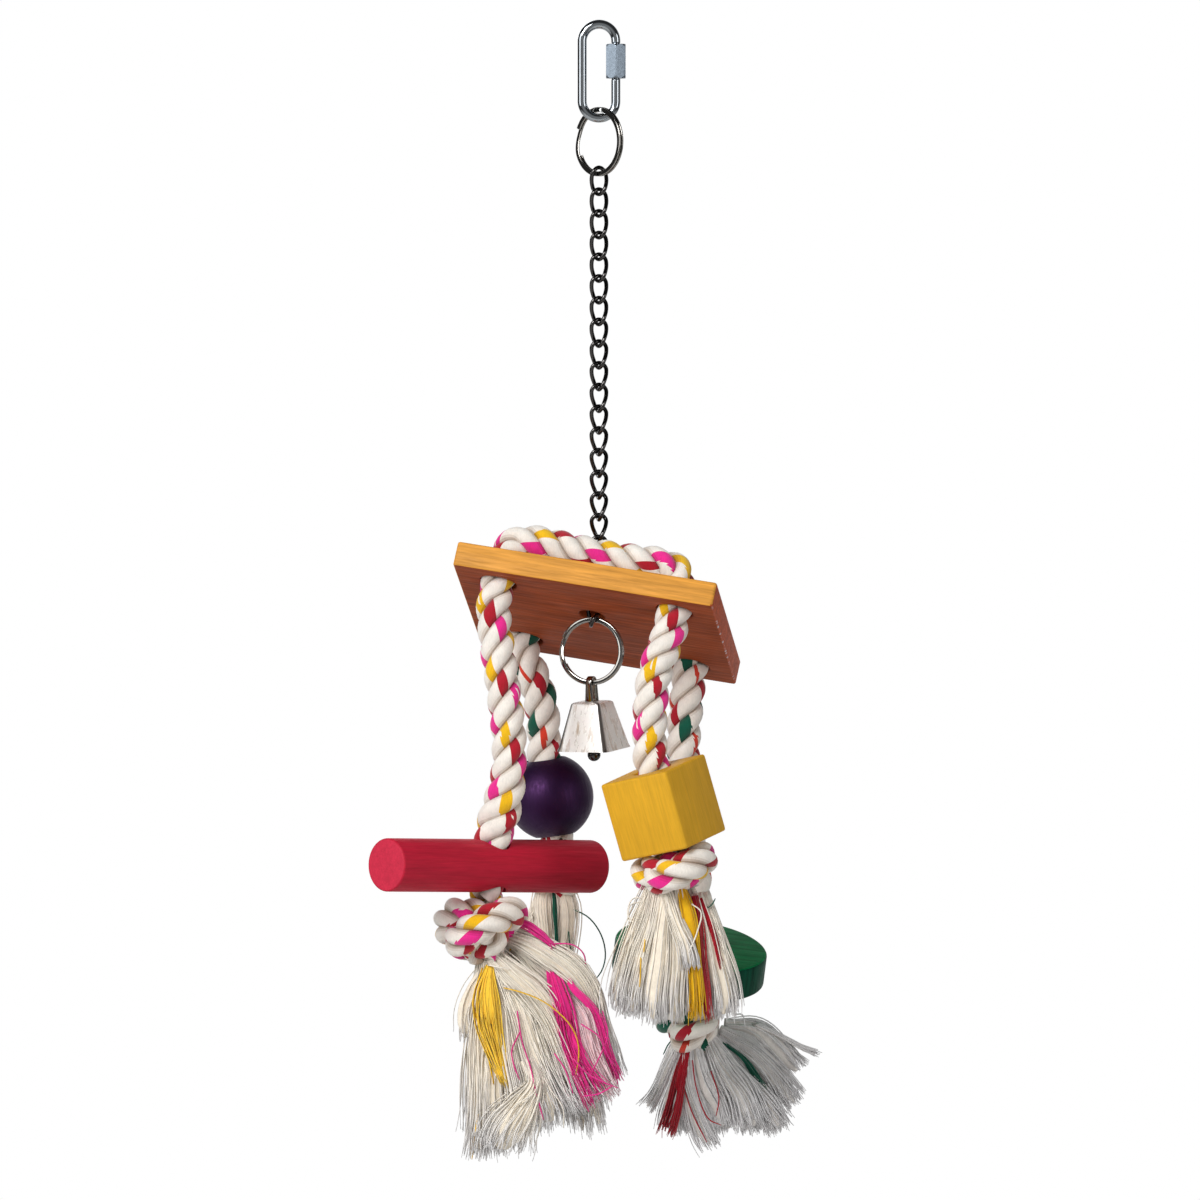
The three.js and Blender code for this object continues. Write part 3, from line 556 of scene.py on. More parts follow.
# Painted shade in the grooves between strands: faces that turn from a strand's outside take this darker,
# warmer colour
GROOVE_PAINTED_SHADE = (0.5, 0.4, 0.33, 1.0)
GROOVE_EDGE = 0.1
GROOVE_SPAN = 0.85
FEWEST_RINGS = 8
SEAT_GAP = 0.3

FRONT_YARNS = [{YELLOW: (0, 6)}, {PINK: (7, 14)}, {CRIMSON: (14, 20)}]
BACK_YARNS = [{DARK_GREEN: (0, 7)}, {CRIMSON: (7, 12)}, {ORANGE_RED: (15, 18)}]


def wander(random, rings, size):
    """A slow random change from ring to ring."""
    knots = np.arange(0, rings + FLECK_STEP, FLECK_STEP)
    return np.interp(np.arange(rings), knots, random.uniform(-size, size, len(knots)))


def strand_colours(random, yarns, rings, yarn, ring):
    """The colour of each face of a strand, by yarn and ring. Dyed yarns shift and part a little."""
    tones = np.tile(linear(COTTON), (len(yarn), 1))
    for colour, (first, last) in yarns.items():
        start = first + wander(random, rings, FLECK_SHIFT)[ring]
        breadth = last - first + wander(random, rings, FLECK_SHIFT)[ring]
        into = (yarn - start) % YARN_COLUMNS
        parted = (np.floor(into) == FLECK_STRIPE) & (wander(random, rings, 1)[ring] > FLECK_PARTED)
        tones[(into < breadth) & ~parted] = linear(colour)
    return tones


def rope_parts(line, diameter, yarns, turn=0.0, swell=None):
    """Points, faces and corner colours of a laid rope along a line, one strand for each row of yarns, with
    painted shade in the grooves between its strands.
    """
    rings = max(FEWEST_RINGS, round(length_of(line) / (ROPE_LAY * diameter) * RINGS_PER_LAY))
    line = spaced(line, rings)
    _, side, up = carried_frames(line)
    size = diameter * (np.ones(rings) if swell is None else profile_along(rings, swell))
    random = np.random.default_rng(rings)
    points, faces, colours = [], [], []
    column = np.arange(YARN_COLUMNS)
    ring = np.arange(rings)[:, None]
    yarn_of_vertex = (column + ring) % YARN_COLUMNS
    ridge = np.where(yarn_of_vertex % 2 == 0, 1 + YARN_RIDGE, 1 - YARN_RIDGE)
    around = column * 2 * np.pi / YARN_COLUMNS
    walls = grid_faces(rings, YARN_COLUMNS)
    caps = cap_faces(rings, YARN_COLUMNS)
    wall_ring = np.repeat(np.arange(rings - 1), 2 * YARN_COLUMNS)
    wall_column = np.tile(np.repeat(column, 2), rings - 1)
    later = np.tile([0, 1], len(wall_ring) // 2)
    yarn_of_face = (wall_ring + wall_column + later) % YARN_COLUMNS
    # Painted shade: faces that turn in from a strand's outside, into the grooves, are darkened and warmed
    outside = np.cos((wall_column + 0.5) * 2 * np.pi / YARN_COLUMNS)
    crown = np.clip((outside + GROOVE_EDGE) / GROOVE_SPAN, 0, 1)[:, None]
    painted_groove_shade = crown + (1 - crown) * np.array(GROOVE_PAINTED_SHADE)
    for index, kinds in enumerate(yarns):
        angle = turn + 2 * np.pi * (np.arange(rings) / RINGS_PER_LAY + index / len(yarns))
        outward = side * np.cos(angle)[:, None] + up * np.sin(angle)[:, None]
        centre = line + outward * (STRAND_OUT * size)[:, None]
        heading = unit(np.gradient(centre, axis=0))
        beside = np.cross(heading, outward)
        radius = STRAND_RADIUS * size[:, None] * ridge
        section = np.stack([radius * np.cos(around), radius * np.sin(around)], -1)
        start = index * rings * YARN_COLUMNS
        points.append(swept(centre, outward, beside, section))
        faces.append(np.vstack([walls, caps]) + start)
        tones = painted_groove_shade * strand_colours(random, kinds, rings, yarn_of_face, wall_ring)
        cap_tones = np.tile(linear(COTTON), (len(caps), 1))
        colours.append(np.repeat(np.vstack([tones, cap_tones]), 3, axis=0))
    return np.vstack(points), np.vstack(faces), np.vstack(colours)


def rope_object(name, line, diameter, yarns, turn=0.0, swell=None):
    points, faces, colours = rope_parts(line, diameter, yarns, turn, swell)
    return new_object(name, points, faces, cotton, corner_colours=colours)


# The two stretches over the board, each from one hole to the other
ROPE_OVER_LEFT = [(1, -2.8), (4.5, 1.2), (12, 2.4), (24, 1.6)]
ROPE_OVER_RIGHT = [(24, 0.9), (12, 1.6), (4.5, 0.9), (1, -2.8)]
ROPE_TOP_END = -6.7
ROPE_HIGH = 6.5


def rope_over_board(name, left, right, yarns, turn):
    (left_x, y), (right_x, _) = HOLES[left], HOLES[right]
    local = [
        (left_x, y, ROPE_TOP_END), (left_x, y, -ROPE_HIGH / 2),
        *[(left_x + inward, y, lift + ROPE_HIGH) for inward, lift in ROPE_OVER_LEFT],
        *[(right_x - inward, y, lift + ROPE_HIGH) for inward, lift in ROPE_OVER_RIGHT],
        (right_x, y, -ROPE_HIGH / 2), (right_x, y, ROPE_TOP_END),
    ]
    line = smooth_curve([BOARD_PLACE @ (Vector(point) * MM) for point in local])
    rope = rope_object(f"{name}_strands", line, ROPE * MM, yarns, turn)
    dress(rope, "board", "cotton", name)


# Legs, from the CAD part: a route from the leg's pivot to the top of its bead, the way through the
# bead and into the knot, and the knot's half height, coil radius and turn
LEGS = {
    "dowel": {
        "route": [(-0.9, -1.5, -5), (0.5, -5, -20), (2.8, -7, -36), (5, -7.5, -56), (4.4, -7.2, -70),
                  (1.4, -6.2, -83), (-1.4, -5.8, -92.4)],
        "height": 2 * DOWEL_RADIUS, "bead_turn": 44.6, "through": (-0.1, 0.073, -1), "into": (-0.02, 0, -1),
        "knot": (11.5, 11, 30), "tilt": -13, "flat": True, "yarns": FRONT_YARNS, "turn": 0.4,
        "swell": [(0, 1), (0.6, 1), (0.74, 1.2), (0.8, 1.12), (0.84, 1.0), (1, 0.98)],
    },
    "cube": {
        "route": [(-1.2, -1.6, -5), (-3.2, -3, -10), (-6.6, -4.4, -20), (-8, -5, -31), (-8.4, -5, -42),
                  (-8.2, -4.6, -50), (-7.3, -4, -55.4)],
        "height": CUBE_SIDE, "bead_turn": 147, "through": (0.268, 0.09, -0.948),
        "into": (0.268, 0.09, -0.948), "knot": (7.4, 10, 30), "tilt": 0, "flat": True,
        "yarns": FRONT_YARNS, "turn": 2.0, "swell": None,
    },
    "ball": {
        "route": [(1.2, -1, -5), (4, -1.4, -10.5), (6.8, -0.8, -20), (8, 0.6, -30), (8.2, 2, -40)],
        "height": 2 * BALL_RADIUS, "bead_turn": 0, "through": (0.14, 0.06, -1),
        "into": (-0.05, 0.06, -1), "knot": (10, 6.2, 140), "tilt": 0, "flat": False,
        "yarns": BACK_YARNS, "turn": 0.6, "swell": None,
    },
    "disc": {
        "route": [(-0.4, -1.2, -5), (-1, -2, -11), (-2, -2.8, -21), (-2.2, -3, -31), (-1.2, -2.8, -48),
                  (1, -2.6, -66), (2.2, -2.4, -83), (1.8, -1.6, -93.6), (0.9, 0.4, -102.1)],
        "height": DISC_HEIGHT, "bead_turn": 0, "through": (-0.116, 0.31, -0.944),
        "into": (0.2, 0.12, -1), "knot": (11, 6.5, 30), "tilt": 0, "flat": True,
        "yarns": BACK_YARNS, "turn": 1.6, "swell": None,
    },
}
KNOT_SWING = 3.6
CAD_KNOTTED_ROPE = 12.4
KNOT_ANGLES = (50, 310)
KNOT_POINTS = 41
KNOT_SAMPLES = 10


def hanging_turn(direction, turn):
    """A turn that takes -Z to the direction, after a turn about Z."""
    lean = Vector((0, 0, -1)).rotation_difference(direction).to_matrix()
    return lean @ turned(turn).to_3x3()


def knot_curve(half, coil):
    """An overhand knot about Z: in at the top, twice round and out at the bottom."""
    swing = half - CAD_KNOTTED_ROPE / 2
    stub = CAD_KNOTTED_ROPE / 4
    entry, leaving = [(0, 0, half), (0, 0, half - stub)], [(0, 0, stub - half), (0, 0, -half)]
    turned = []
    for degrees in np.linspace(*KNOT_ANGLES, KNOT_POINTS):
        angle = math.radians(degrees)
        out = coil + KNOT_SWING * math.cos(3 * angle)
        height = swing * math.sin(3 * angle)
        turned.append((out * math.cos(2 * angle), out * math.sin(2 * angle), height))
    return smooth_curve([*entry, *turned, *leaving], KNOT_SAMPLES)


def make_leg(name, leg):
    """A leg's rope and knot. Returns both, the rope's line and its bead's place."""
    pivot = pivot_of(f"{name}_leg_swing")
    through = Vector(leg["through"]).normalized()
    into = Vector(leg["into"]).normalized()
    half, coil, knot_turn = leg["knot"]
    route = [Vector(point) for point in leg["route"]]
    bead_end = route[-1] + through * leg["height"]
    reach = coil + KNOT_SWING + CAD_KNOTTED_ROPE / 2
    lean = reach * math.sin(through.angle(into)) if leg["flat"] else 0
    rope_end = bead_end + into * (lean + SEAT_GAP)
    hole = board_turn @ Vector((0, 0, LEG_PIVOT_DEPTH + ROPE_TOP_END - SEAT_GAP))
    middle = route[-1] + through * (leg["height"] / 2)
    points = [hole, Vector((0, 0, 0)), *route, middle, bead_end, rope_end]
    line = smooth_curve([pivot + point * MM for point in points])
    rope = rope_object(f"{name}_rope_strands", line, ROPE * MM, leg["yarns"], leg["turn"], leg["swell"])
    dress(rope, f"{name}_leg", "cotton", f"{name}_rope")

    knot_centre = pivot + (rope_end + into * (half + SEAT_GAP)) * MM
    turn = turned(leg["tilt"], "X").to_3x3() @ hanging_turn(into, knot_turn)
    curve = np.array([knot_centre + turn @ Vector(point) * MM for point in knot_curve(half, coil)])
    knot = rope_object(f"{name}_knot_strands", curve, KNOTTED_ROPE * MM, leg["yarns"], leg["turn"])
    dress(knot, f"{name}_leg", "cotton", f"{name}_knot")
    bead_place = Matrix.Translation(pivot + middle * MM)
    bead_place = bead_place @ hanging_turn(through, leg["bead_turn"]).to_4x4()
    return {"rope": rope, "line": line, "knot": knot, "bead_place": bead_place}


rope_over_board("front_rope_top", "dowel", "cube", FRONT_YARNS, 1.2)
rope_over_board("back_rope_top", "ball", "disc", BACK_YARNS, 0.2)
made_legs = {name: make_leg(name, leg) for name, leg in LEGS.items()}


# Tassels: locks of cotton threads that leave each knot, and loose threads. A lock is its colour, its
# number of threads and its points: x, y, z from the tassel's pivot and half its width there.
THREAD_RADIUS = 0.27
THREAD_POINTS = 20
THREAD_SIDES = 3
LOOSE_RADIUS = 0.34
LOCK_FLATNESS = 0.55
CLUMP_THREADS = 6
FULLNESS = 1.35
FRAY = 0.12
THREAD_FRAY = 0.05
LOCK_EDGE = 0.95
LOCK_HOLLOW = 0.1
LOCK_TWIST = 0.35
WAVES = (4, 9)
WAVE_SIZE = 0.13
TIP_START, TIP_SPAN = 0.8, 0.2
TIP_CURVE = 1.5
TIP_STRAY = 0.7
FADE_START, FADE_SPAN = 0.55, 0.45
THREAD_TAPER = [(0, 1), (0.85, 1), (1, 0.55)]
THREAD_SIZES = (0.8, 1.2)
THREAD_TONES = (0.94, 1.08)
TIP_TONES = (0.92, 1.04)
CORE_SIDES = 10
CORE_LENGTHS = (0.95, 0.5)
CORE_TAPER = [(0, 0.8), (0.6, 0.8), (0.85, 0.62), (1, 0.1)]
# Painted shade: a lock's core takes the lock's colour a little darker and warmer, as the shade in the gaps
# between threads
CORE_SHADE_SHARE = 0.98
CORE_PAINTED_SHADE = (1, 0.97, 0.92, 1)
HIDDEN_THREADS = 46
HIDDEN_JITTER = 0.06
HIDDEN_LENGTHS = (0.9, 1)
HIDDEN_ROOT = (0.25, 0.3, 10, 2)
HIDDEN_STEPS = [(0.7, 0.6, 0.8, 0.3, 3.6), (0.9, 0.85, 1, 0.65, 4.4), (1, 1, 1, 1, 4.8)]
TASSEL_SEED = 11
WHITES = (HANK, HANK_COOL, BLUSH)
DOWEL_LOCKS = [
    (HANK, 120, [
        (2, 0, 16, 3), (10, -2, 13, 4.5), (19, -3, 8, 6), (27, -3, 2, 6.5), (32, -2, -6, 6),
        (35, -2, -18, 5.5), (39, -2, -30, 5.5), (42, -2, -40, 5.5),
    ]),
    (PINK, 26, [(4, -4, 21, 1), (10, -5, 20, 1.8), (14.5, -6, 17, 2), (20, -6, 11.5, 0.6)]),
    (HANK, 110, [
        (-4, -3, 9, 3), (4, -6, 1, 5), (11.5, -7, -5.5, 6), (18, -7, -14.5, 5.5), (22, -6, -24, 5),
        (27, -5, -36, 6), (34, -4, -50, 8),
    ]),
    (HANK, 110, [
        (-2, -4, 8, 3), (4, -6, -6, 4), (7.5, -7, -15, 4.5), (10, -7, -25, 5), (14, -7, -38, 6),
        (20, -6, -57, 10),
    ]),
    (HANK, 90, [
        (10, -9, -30, 2), (13, -10, -39, 3), (9, -10, -48, 6), (3, -9, -58, 9), (1, -8, -66, 10),
    ]),
    (HANK, 70, [
        (-5, -3, 8, 2), (-7, -3, -10, 3), (-8, -3, -22, 3.5), (-8, -3, -45, 4), (-9, -3, -69, 5.5),
    ]),
    (HANK, 80, [(-2, -2, 6, 2), (-2.5, -3, -25, 4), (-3, -3, -45, 5), (0, -3, -68, 8)]),
    (HANK, 80, [(-1, -3, 6, 2), (1, -5, -14, 4), (3, -6, -30, 5), (5, -6, -44, 5), (6, -6, -58, 7)]),
    (PALE_YELLOW, 60, [
        (-4, -6, 5, 1), (-5, -8, -6, 3.6), (-4, -8, -16, 4.4), (-1.5, -8, -26, 3.2), (2, -8, -41, 0.8),
    ]),
    (YELLOW, 4, [
        (-7, -5, 4, 0.3), (-10.5, -6, -10, 0.6), (-7, -6, -20, 0.6), (-4, -6, -33, 0.5),
        (-1.5, -6, -46, 0.6),
    ]),
    (HANK, 60, [(-5, 0, 6, 1.5), (-11, -1, -5, 3), (-14, -1, -14, 3.5), (-13, 0, -24, 4)]),
    (BLUSH, 70, [
        (24, -3, -6, 2), (29, -6, -14, 4), (32, -6, -24, 5), (36, -5, -36, 6), (41, -4, -46, 5),
    ]),
    (PINK, 40, [
        (18, 0, 7, 1.2), (21, -7, -3, 2.8), (24, -9, -12, 3.6), (26, -8, -23, 3.6), (30, -8, -36, 3),
        (35, -7, -49, 2.4),
    ]),
    (PINK, 16, [
        (23, -1, 4, 0.8), (27, -8, -4, 1.4), (32, -8, -9, 1.6), (36, -7, -15, 1.8), (39, -7, -26, 2.2),
        (44, -6, -40, 3),
    ]),
    (PINK, 12, [(25, -9, -16, 1), (29, -10, -25, 2), (34, -9, -34, 2.6), (41, -8, -43, 3.4)]),
]
DOWEL_LOOSE = [
    (YELLOW, [
        (1, -9, -3.5), (7.5, -13, -5), (15, -14, -8), (22, -14, -13), (27, -13, -19), (29, -12, -25),
        (29, -12, -30), (28, -11, -36),
    ]),
    (PINK, [(6, -11, -12), (8, -12, -24), (11, -12, -33), (13, -12, -42), (16, -12, -53)]),
    (PINK, [(7, -11, -20), (4, -11, -27), (5, -11, -33), (7, -11, -38)]),
    (PINK, [(19, -6, 13), (27, -6, 12.5), (31, -5, 9), (32, -4, 3), (34.5, -4, -2)]),
    (PINK, [(30, -11, -17), (37, -12, -22), (40, -11, -29), (43, -10, -33)]),
    (PINK, [(38, -10, -12), (40, -11, -21), (37, -11, -29), (33, -11, -37)]),
    (PINK, [(27, -12, -30), (33, -13, -36), (39, -12, -39), (44, -11, -41)]),
    (PINK, [(31, -12, -44), (37, -12, -43), (42, -11, -40)]),
    (PINK, [(20, -12, -28), (24, -13, -34), (27, -12, -43)]),
    (YELLOW, [(-8.5, -5, -51), (-10, -5, -59), (-11, -5, -68)]),
    (HANK, [(16, -12, -37), (19, -12, -42), (23, -12, -48), (23.5, -11, -56)]),
    (HANK, [(14.5, -13, -38), (12, -14, -43), (6, -14, -47), (2, -13, -54)]),
    (HANK, [(-5, -7, 5), (-1.5, -10, 4.5), (4, -9, 3.5)]),
]
CUBE_LOCKS = [
    (HANK, 70, [
        (-8, -3, 12, 2.5), (-14, -4, -4, 3.6), (-18, -4, -17, 4.5), (-21, -3, -28, 5), (-22, -3, -37, 5),
    ]),
    (HANK, 80, [
        (-6, -4, 12, 2.5), (-9, -6, -4, 3.6), (-12.5, -6, -17, 4.5), (-15, -6, -28, 5),
        (-16.5, -6, -39, 5.5),
    ]),
    (HANK, 80, [
        (-3, -5, 12, 2.5), (-4.5, -7, -4, 3.6), (-6, -8, -17, 4.5), (-8, -8, -28, 5),
        (-8.5, -8, -42, 5.5),
    ]),
    (HANK, 80, [
        (-1, -5, 12, 2.5), (0, -6, -4, 3.4), (0, -7, -17, 4.5), (-1, -7, -28, 5), (-1, -7, -42, 5.5),
    ]),
    (HANK, 50, [(-4, -6, 11, 1.6), (1, -9, -4, 2.4), (4, -10, -12, 2.8), (6, -10, -21, 3.4)]),
    (YELLOW, 50, [
        (1, -5, 12, 1.4), (4, -7, 1.5, 2.8), (6, -8, -8, 2.2), (7, -8, -17, 2), (8, -8, -28, 2.2),
        (8.5, -8, -41, 3),
    ]),
    (CRIMSON, 34, [
        (7, -4, 7, 1.2), (9, -5, -6, 1.8), (9.5, -6, -17, 1.6), (11, -6, -28, 1.3), (12, -6, -41, 1),
    ]),
    (CRIMSON, 12, [(9, -3, 6, 0.8), (13.5, -4, -6, 1.1), (15.5, -5, -13.5, 0.8), (17, -5, -21, 0.5)]),
    (HANK, 80, [
        (8, -2, 8, 2), (12.5, -3, -8, 3.6), (16, -3, -20, 4.5), (18, -3, -31, 5), (18, -3, -40, 5),
    ]),
    (HANK, 50, [(10, -1, 8, 2), (16, -2, -10, 3), (20, -2, -26, 3.4), (22, -2, -37, 3)]),
]
CUBE_LOOSE = [
    (HANK, [(-12, -4, 5), (-17, -5, 3.5), (-17.5, -5, -1), (-14, -5, -4.5)]),
    (HANK, [(-11, -4, 6), (-16, -4, 6), (-18, -4, 1.5), (-17, -4, -5)]),
    (HANK, [(6, -8, 4), (9.5, -10, 1), (8, -11, -6.5), (5, -12, -14)]),
    (YELLOW, [(-13, -9, -16), (-13.5, -10, -27)]),
    (YELLOW, [(-11.5, -9, -9), (-12, -10, -14)]),
    (DARK_GREEN, [(11, -3, 2), (13.5, -4, 3.5), (15, -4, 6)]),
]
BALL_LOCKS = [
    (HANK, 70, [(-3, -3, 9, 3), (-3.5, -5, 2, 4), (-3, -5, -6, 3.8), (-3, -5, -22, 4), (-6, -4, -42, 5)]),
    (HANK, 70, [(3, -3, 9, 3), (5, -5, 2, 4), (5, -5, -6, 4), (3, -5, -22, 4), (0, -4, -42, 5)]),
    (DARK_GREEN, 10, [(0.2, -5, 7, 0.4), (0.5, -8, -1, 0.6), (1, -8, -10, 0.5), (1, -7, -24, 0.7)]),
]
BALL_LOOSE = [
    (DARK_GREEN, [
        (8, -6, 0.5), (14, -7, -3), (18.5, -8, -9.5), (20, -8, -17), (18.5, -7, -23), (15, -6, -27.5),
    ]),
    (DARK_GREEN, [(6, -7, -8), (6.5, -8, -13), (7.5, -8, -18)]),
]
DISC_LOCKS = [
    (HANK_COOL, 40, [(-9, -4, 12, 1.6), (-14.5, -6, 0, 2.2), (-19, -6, -10.5, 2.4), (-23, -6, -17, 3)]),
    (CRIMSON, 64, [(-7, -7, 6, 1.2), (-10, -10, -6, 2.6), (-12.5, -11, -17, 3.2), (-15, -11, -27, 3.6)]),
    (HANK_COOL, 80, [
        (-7, -5, 10, 2), (-7, -8, -4, 3.6), (-4, -9, -16, 4.6), (0, -9, -27, 5), (3, -8, -32, 5),
    ]),
    (HANK_COOL, 60, [(-4, -5, 9, 2), (0, -8, -7, 3.2), (5, -8, -16, 3.6), (7, -8, -25, 4)]),
    (HANK_COOL, 100, [(1, -5, 11, 2), (8, -8, -2, 4), (14.5, -9, -11.5, 5.5), (19, -8, -25, 6.5)]),
    (HANK_COOL, 90, [(3, -4, 11, 2), (13, -6, -3, 4), (21.5, -6, -13, 5), (29, -5, -25, 6)]),
    (HANK_COOL, 100, [(5, -2, 13, 2.5), (17.5, -3, 5.5, 4.5), (27, -3, -4.5, 5.5), (35, -2, -16, 6)]),
    (HANK_COOL, 80, [(7, 0, 15, 2), (19, 0, 13, 4), (27, 0, 6.5, 4.5), (36, 0, -4, 5)]),
    (HANK_COOL, 24, [(19, -2, 15.5, 1), (29.5, -2, 10.5, 1), (36.5, -2, 6.5, 1.3), (43, -2, 3.5, 2.2)]),
    (DARK_GREEN, 16, [(6, -5, 9, 0.6), (14.5, -8, 2.5, 0.9), (18.5, -8, -3, 1.2), (23, -7, -8.5, 0.8)]),
]
DISC_LOOSE = [
    (CRIMSON, [(-5, -9, 2), (-3.5, -13, -8.5), (1, -14, -20), (6, -13, -22.5)]),
    (CRIMSON, [(-9, -10, -6), (-5, -13, -18), (0.5, -13, -29)]),
    (CRIMSON, [(2, -10, -2), (5, -12, -12), (4, -12, -19)]),
    (DARK_GREEN, [(-11, -3, 11), (-14, -4, 8), (-16, -4, 4)]),
    (HANK_COOL, [(11, -2, 19), (14, -3, 19), (15, -3, 15)]),
]
TASSELS = {
    "dowel": {
        "locks": DOWEL_LOCKS, "loose": DOWEL_LOOSE, "behind": 10, "spread": (24, 11), "sweep": 14,
        "length": 62, "clump": 0.28, "hank": HANK,
    },
    "cube": {
        "locks": CUBE_LOCKS, "loose": CUBE_LOOSE, "behind": 10, "spread": (19, 10), "sweep": -0.5,
        "length": 40, "clump": 0.34, "hank": HANK,
    },
    "ball": {
        "locks": BALL_LOCKS, "loose": BALL_LOOSE, "behind": 8, "spread": (9, 9), "sweep": -6,
        "length": 42, "clump": 0.3, "hank": HANK,
    },
    "disc": {
        "locks": DISC_LOCKS, "loose": DISC_LOOSE, "behind": 10, "spread": (22, 11), "sweep": 7,
        "length": 28, "clump": 0.2, "hank": HANK_COOL,
    },
}


def hidden_locks(random, shape):
    """Plain locks that fill a tassel's back half. Their points are shares of its spread and length."""
    locks = []
    root_out, root_deep, root_high, root_width = HIDDEN_ROOT
    for k in range(shape["behind"]):
        angle = math.pi * (k + 0.5) / shape["behind"] + random.normal(0, HIDDEN_JITTER)
        across, deep = shape["spread"][0] * math.cos(angle), shape["spread"][1] * math.sin(angle)
        reach = -shape["length"] * random.uniform(*HIDDEN_LENGTHS)
        root = (root_out * across, root_deep * deep, root_high, root_width)
        steps = [(out * across + swept_by * shape["sweep"], back * deep, down * reach, width)
                 for out, swept_by, back, down, width in HIDDEN_STEPS]
        locks.append((shape["hank"], HIDDEN_THREADS, [root, *steps]))
    return locks


def lock_threads(random, points, count, clump):
    """The threads of a lock, in clumps that wave together, and the lock's own spaced points."""
    line = spaced(smooth_curve(points), THREAD_POINTS)
    width = line[:, 3]
    _, side, depth = carried_frames(line[:, :3])
    share = np.linspace(0, 1, THREAD_POINTS)
    threads = []
    count = round(FULLNESS * count)
    for first in range(0, count, CLUMP_THREADS):
        middle = random.uniform(0, 2 * np.pi)
        out = LOCK_EDGE * math.sqrt(random.uniform(LOCK_HOLLOW, 1))
        twist = random.normal(0, LOCK_TWIST)
        waves, phase = random.uniform(*WAVES), random.uniform(0, 2 * np.pi)
        wave = WAVE_SIZE * width * np.sin(share * waves + phase) * np.minimum(1, 4 * share)
        ends = 1 - FRAY * random.uniform(0, 1) ** 2
        for _ in range(min(CLUMP_THREADS, count - first)):
            angle = middle + twist * share
            own = random.normal(0, clump, 2)
            across = (out * np.cos(angle) + own[0]) * width + wave
            deep = LOCK_FLATNESS * (out * np.sin(angle) + own[1]) * width
            thread = line[:, :3] + side * across[:, None] + depth * deep[:, None]
            late = np.clip((share - TIP_START) / TIP_SPAN, 0, 1)[:, None] ** TIP_CURVE
            tip = late * random.normal(0, TIP_STRAY, 3)
            reach = (ends - THREAD_FRAY * random.uniform(0, 1)) * (THREAD_POINTS - 1)
            threads.append(cut_short(thread + tip, reach))
    return threads, line


def cut_short(thread, reach):
    """The thread's points again, spread only as far as a point number."""
    places = np.linspace(0, reach, len(thread))
    return np.stack([np.interp(places, np.arange(len(thread)), thread[:, k]) for k in range(3)], 1)


def thread_parts(threads, tones, tips, radii):
    """One mesh's points, faces and corner colours for many threads."""
    points, faces, colours = [], [], []
    wall = tube_faces(THREAD_POINTS, THREAD_SIDES)
    last = THREAD_POINTS - 1
    ring = np.clip(np.arange(len(wall)) // (2 * THREAD_SIDES), 0, last) / last
    fade = np.clip((ring - FADE_START) / FADE_SPAN, 0, 1)[:, None]
    taper = profile_along(THREAD_POINTS, THREAD_TAPER)[:, None, None]
    for index, (thread, tone, tip, radius) in enumerate(zip(threads, tones, tips, radii)):
        _, side, up = carried_frames(thread)
        section = taper * round_section(radius, THREAD_SIDES)[None]
        points.append(swept(thread, side, up, section))
        faces.append(wall + index * THREAD_POINTS * THREAD_SIDES)
        shade = np.array(tone) * (1 - fade) + np.array(tip) * fade
        colours.append(np.repeat(shade, 3, axis=0))
    return np.vstack(points), np.vstack(faces), np.vstack(colours)


def core_parts(line, colour):
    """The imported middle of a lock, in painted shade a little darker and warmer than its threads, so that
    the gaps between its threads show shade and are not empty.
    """
    line = line[:round(CORE_LENGTHS[0 if colour in WHITES else 1] * len(line))]
    _, side, depth = carried_frames(line[:, :3])
    closing = profile_along(len(line), CORE_TAPER)
    section = round_section(1.0, CORE_SIDES) * (1, LOCK_FLATNESS)
    section = section[None] * (closing * line[:, 3])[:, None, None]
    faces = tube_faces(len(line), CORE_SIDES)
    shade = np.array(linear(colour, CORE_SHADE_SHARE)) * CORE_PAINTED_SHADE
    return swept(line[:, :3], side, depth, section), faces, np.tile(shade, (3 * len(faces), 1))


def make_tassel(name, shape, seed):
    random = np.random.default_rng(seed)
    pivot = pivot_of(f"{name}_tassel_swing")
    threads, tones, tips, parts = [], [], [], []
    for colour, count, points in [*shape["locks"], *hidden_locks(random, shape)]:
        made, line = lock_threads(random, points, count, shape["clump"])
        threads += made
        tones += [linear(colour, random.uniform(*THREAD_TONES)) for _ in made]
        tip = HANK_TIP if colour in (HANK, HANK_COOL) else colour
        tips += [linear(tip, random.uniform(*TIP_TONES)) for _ in made]
        parts.append(core_parts(line, colour))
    radii = random.uniform(*THREAD_SIZES, len(threads)) * THREAD_RADIUS
    for colour, points in shape["loose"]:
        threads.append(spaced(smooth_curve(points), THREAD_POINTS))
        tones.append(linear(colour))
        tips.append(linear(colour))
        radii = np.append(radii, LOOSE_RADIUS)
    parts.append(thread_parts(threads, tones, tips, radii))
    starts = np.cumsum([0] + [len(part[0]) for part in parts])
    points = np.vstack([part[0] for part in parts])
    faces = np.vstack([part[1] + start for part, start in zip(parts, starts)])
    tassel = new_object(f"{name}_fringe_threads", np.array(pivot) + points * MM, faces, loose_cotton,
                        corner_colours=np.vstack([part[2] for part in parts]))
    return dress(tassel, f"{name}_fringe", "cotton", f"{name}_tassel")


tassels = {name: make_tassel(name, shape, seed)
           for seed, (name, shape) in enumerate(TASSELS.items(), TASSEL_SEED)}


# Turned and sawn pieces
def lathe(profile, segments):
    """Points and faces of a closed profile of (radius, z) turned about Z."""
    angle = np.arange(segments) * 2 * np.pi / segments
    profile = np.array(profile, float)
    points = np.stack([
        profile[:, None, 0] * np.cos(angle), profile[:, None, 0] * np.sin(angle),
        np.repeat(profile[:, None, 1], segments, 1),
    ], -1).reshape(-1, 3)
    return points, grid_faces(len(profile), segments, True)[:, ::-1]


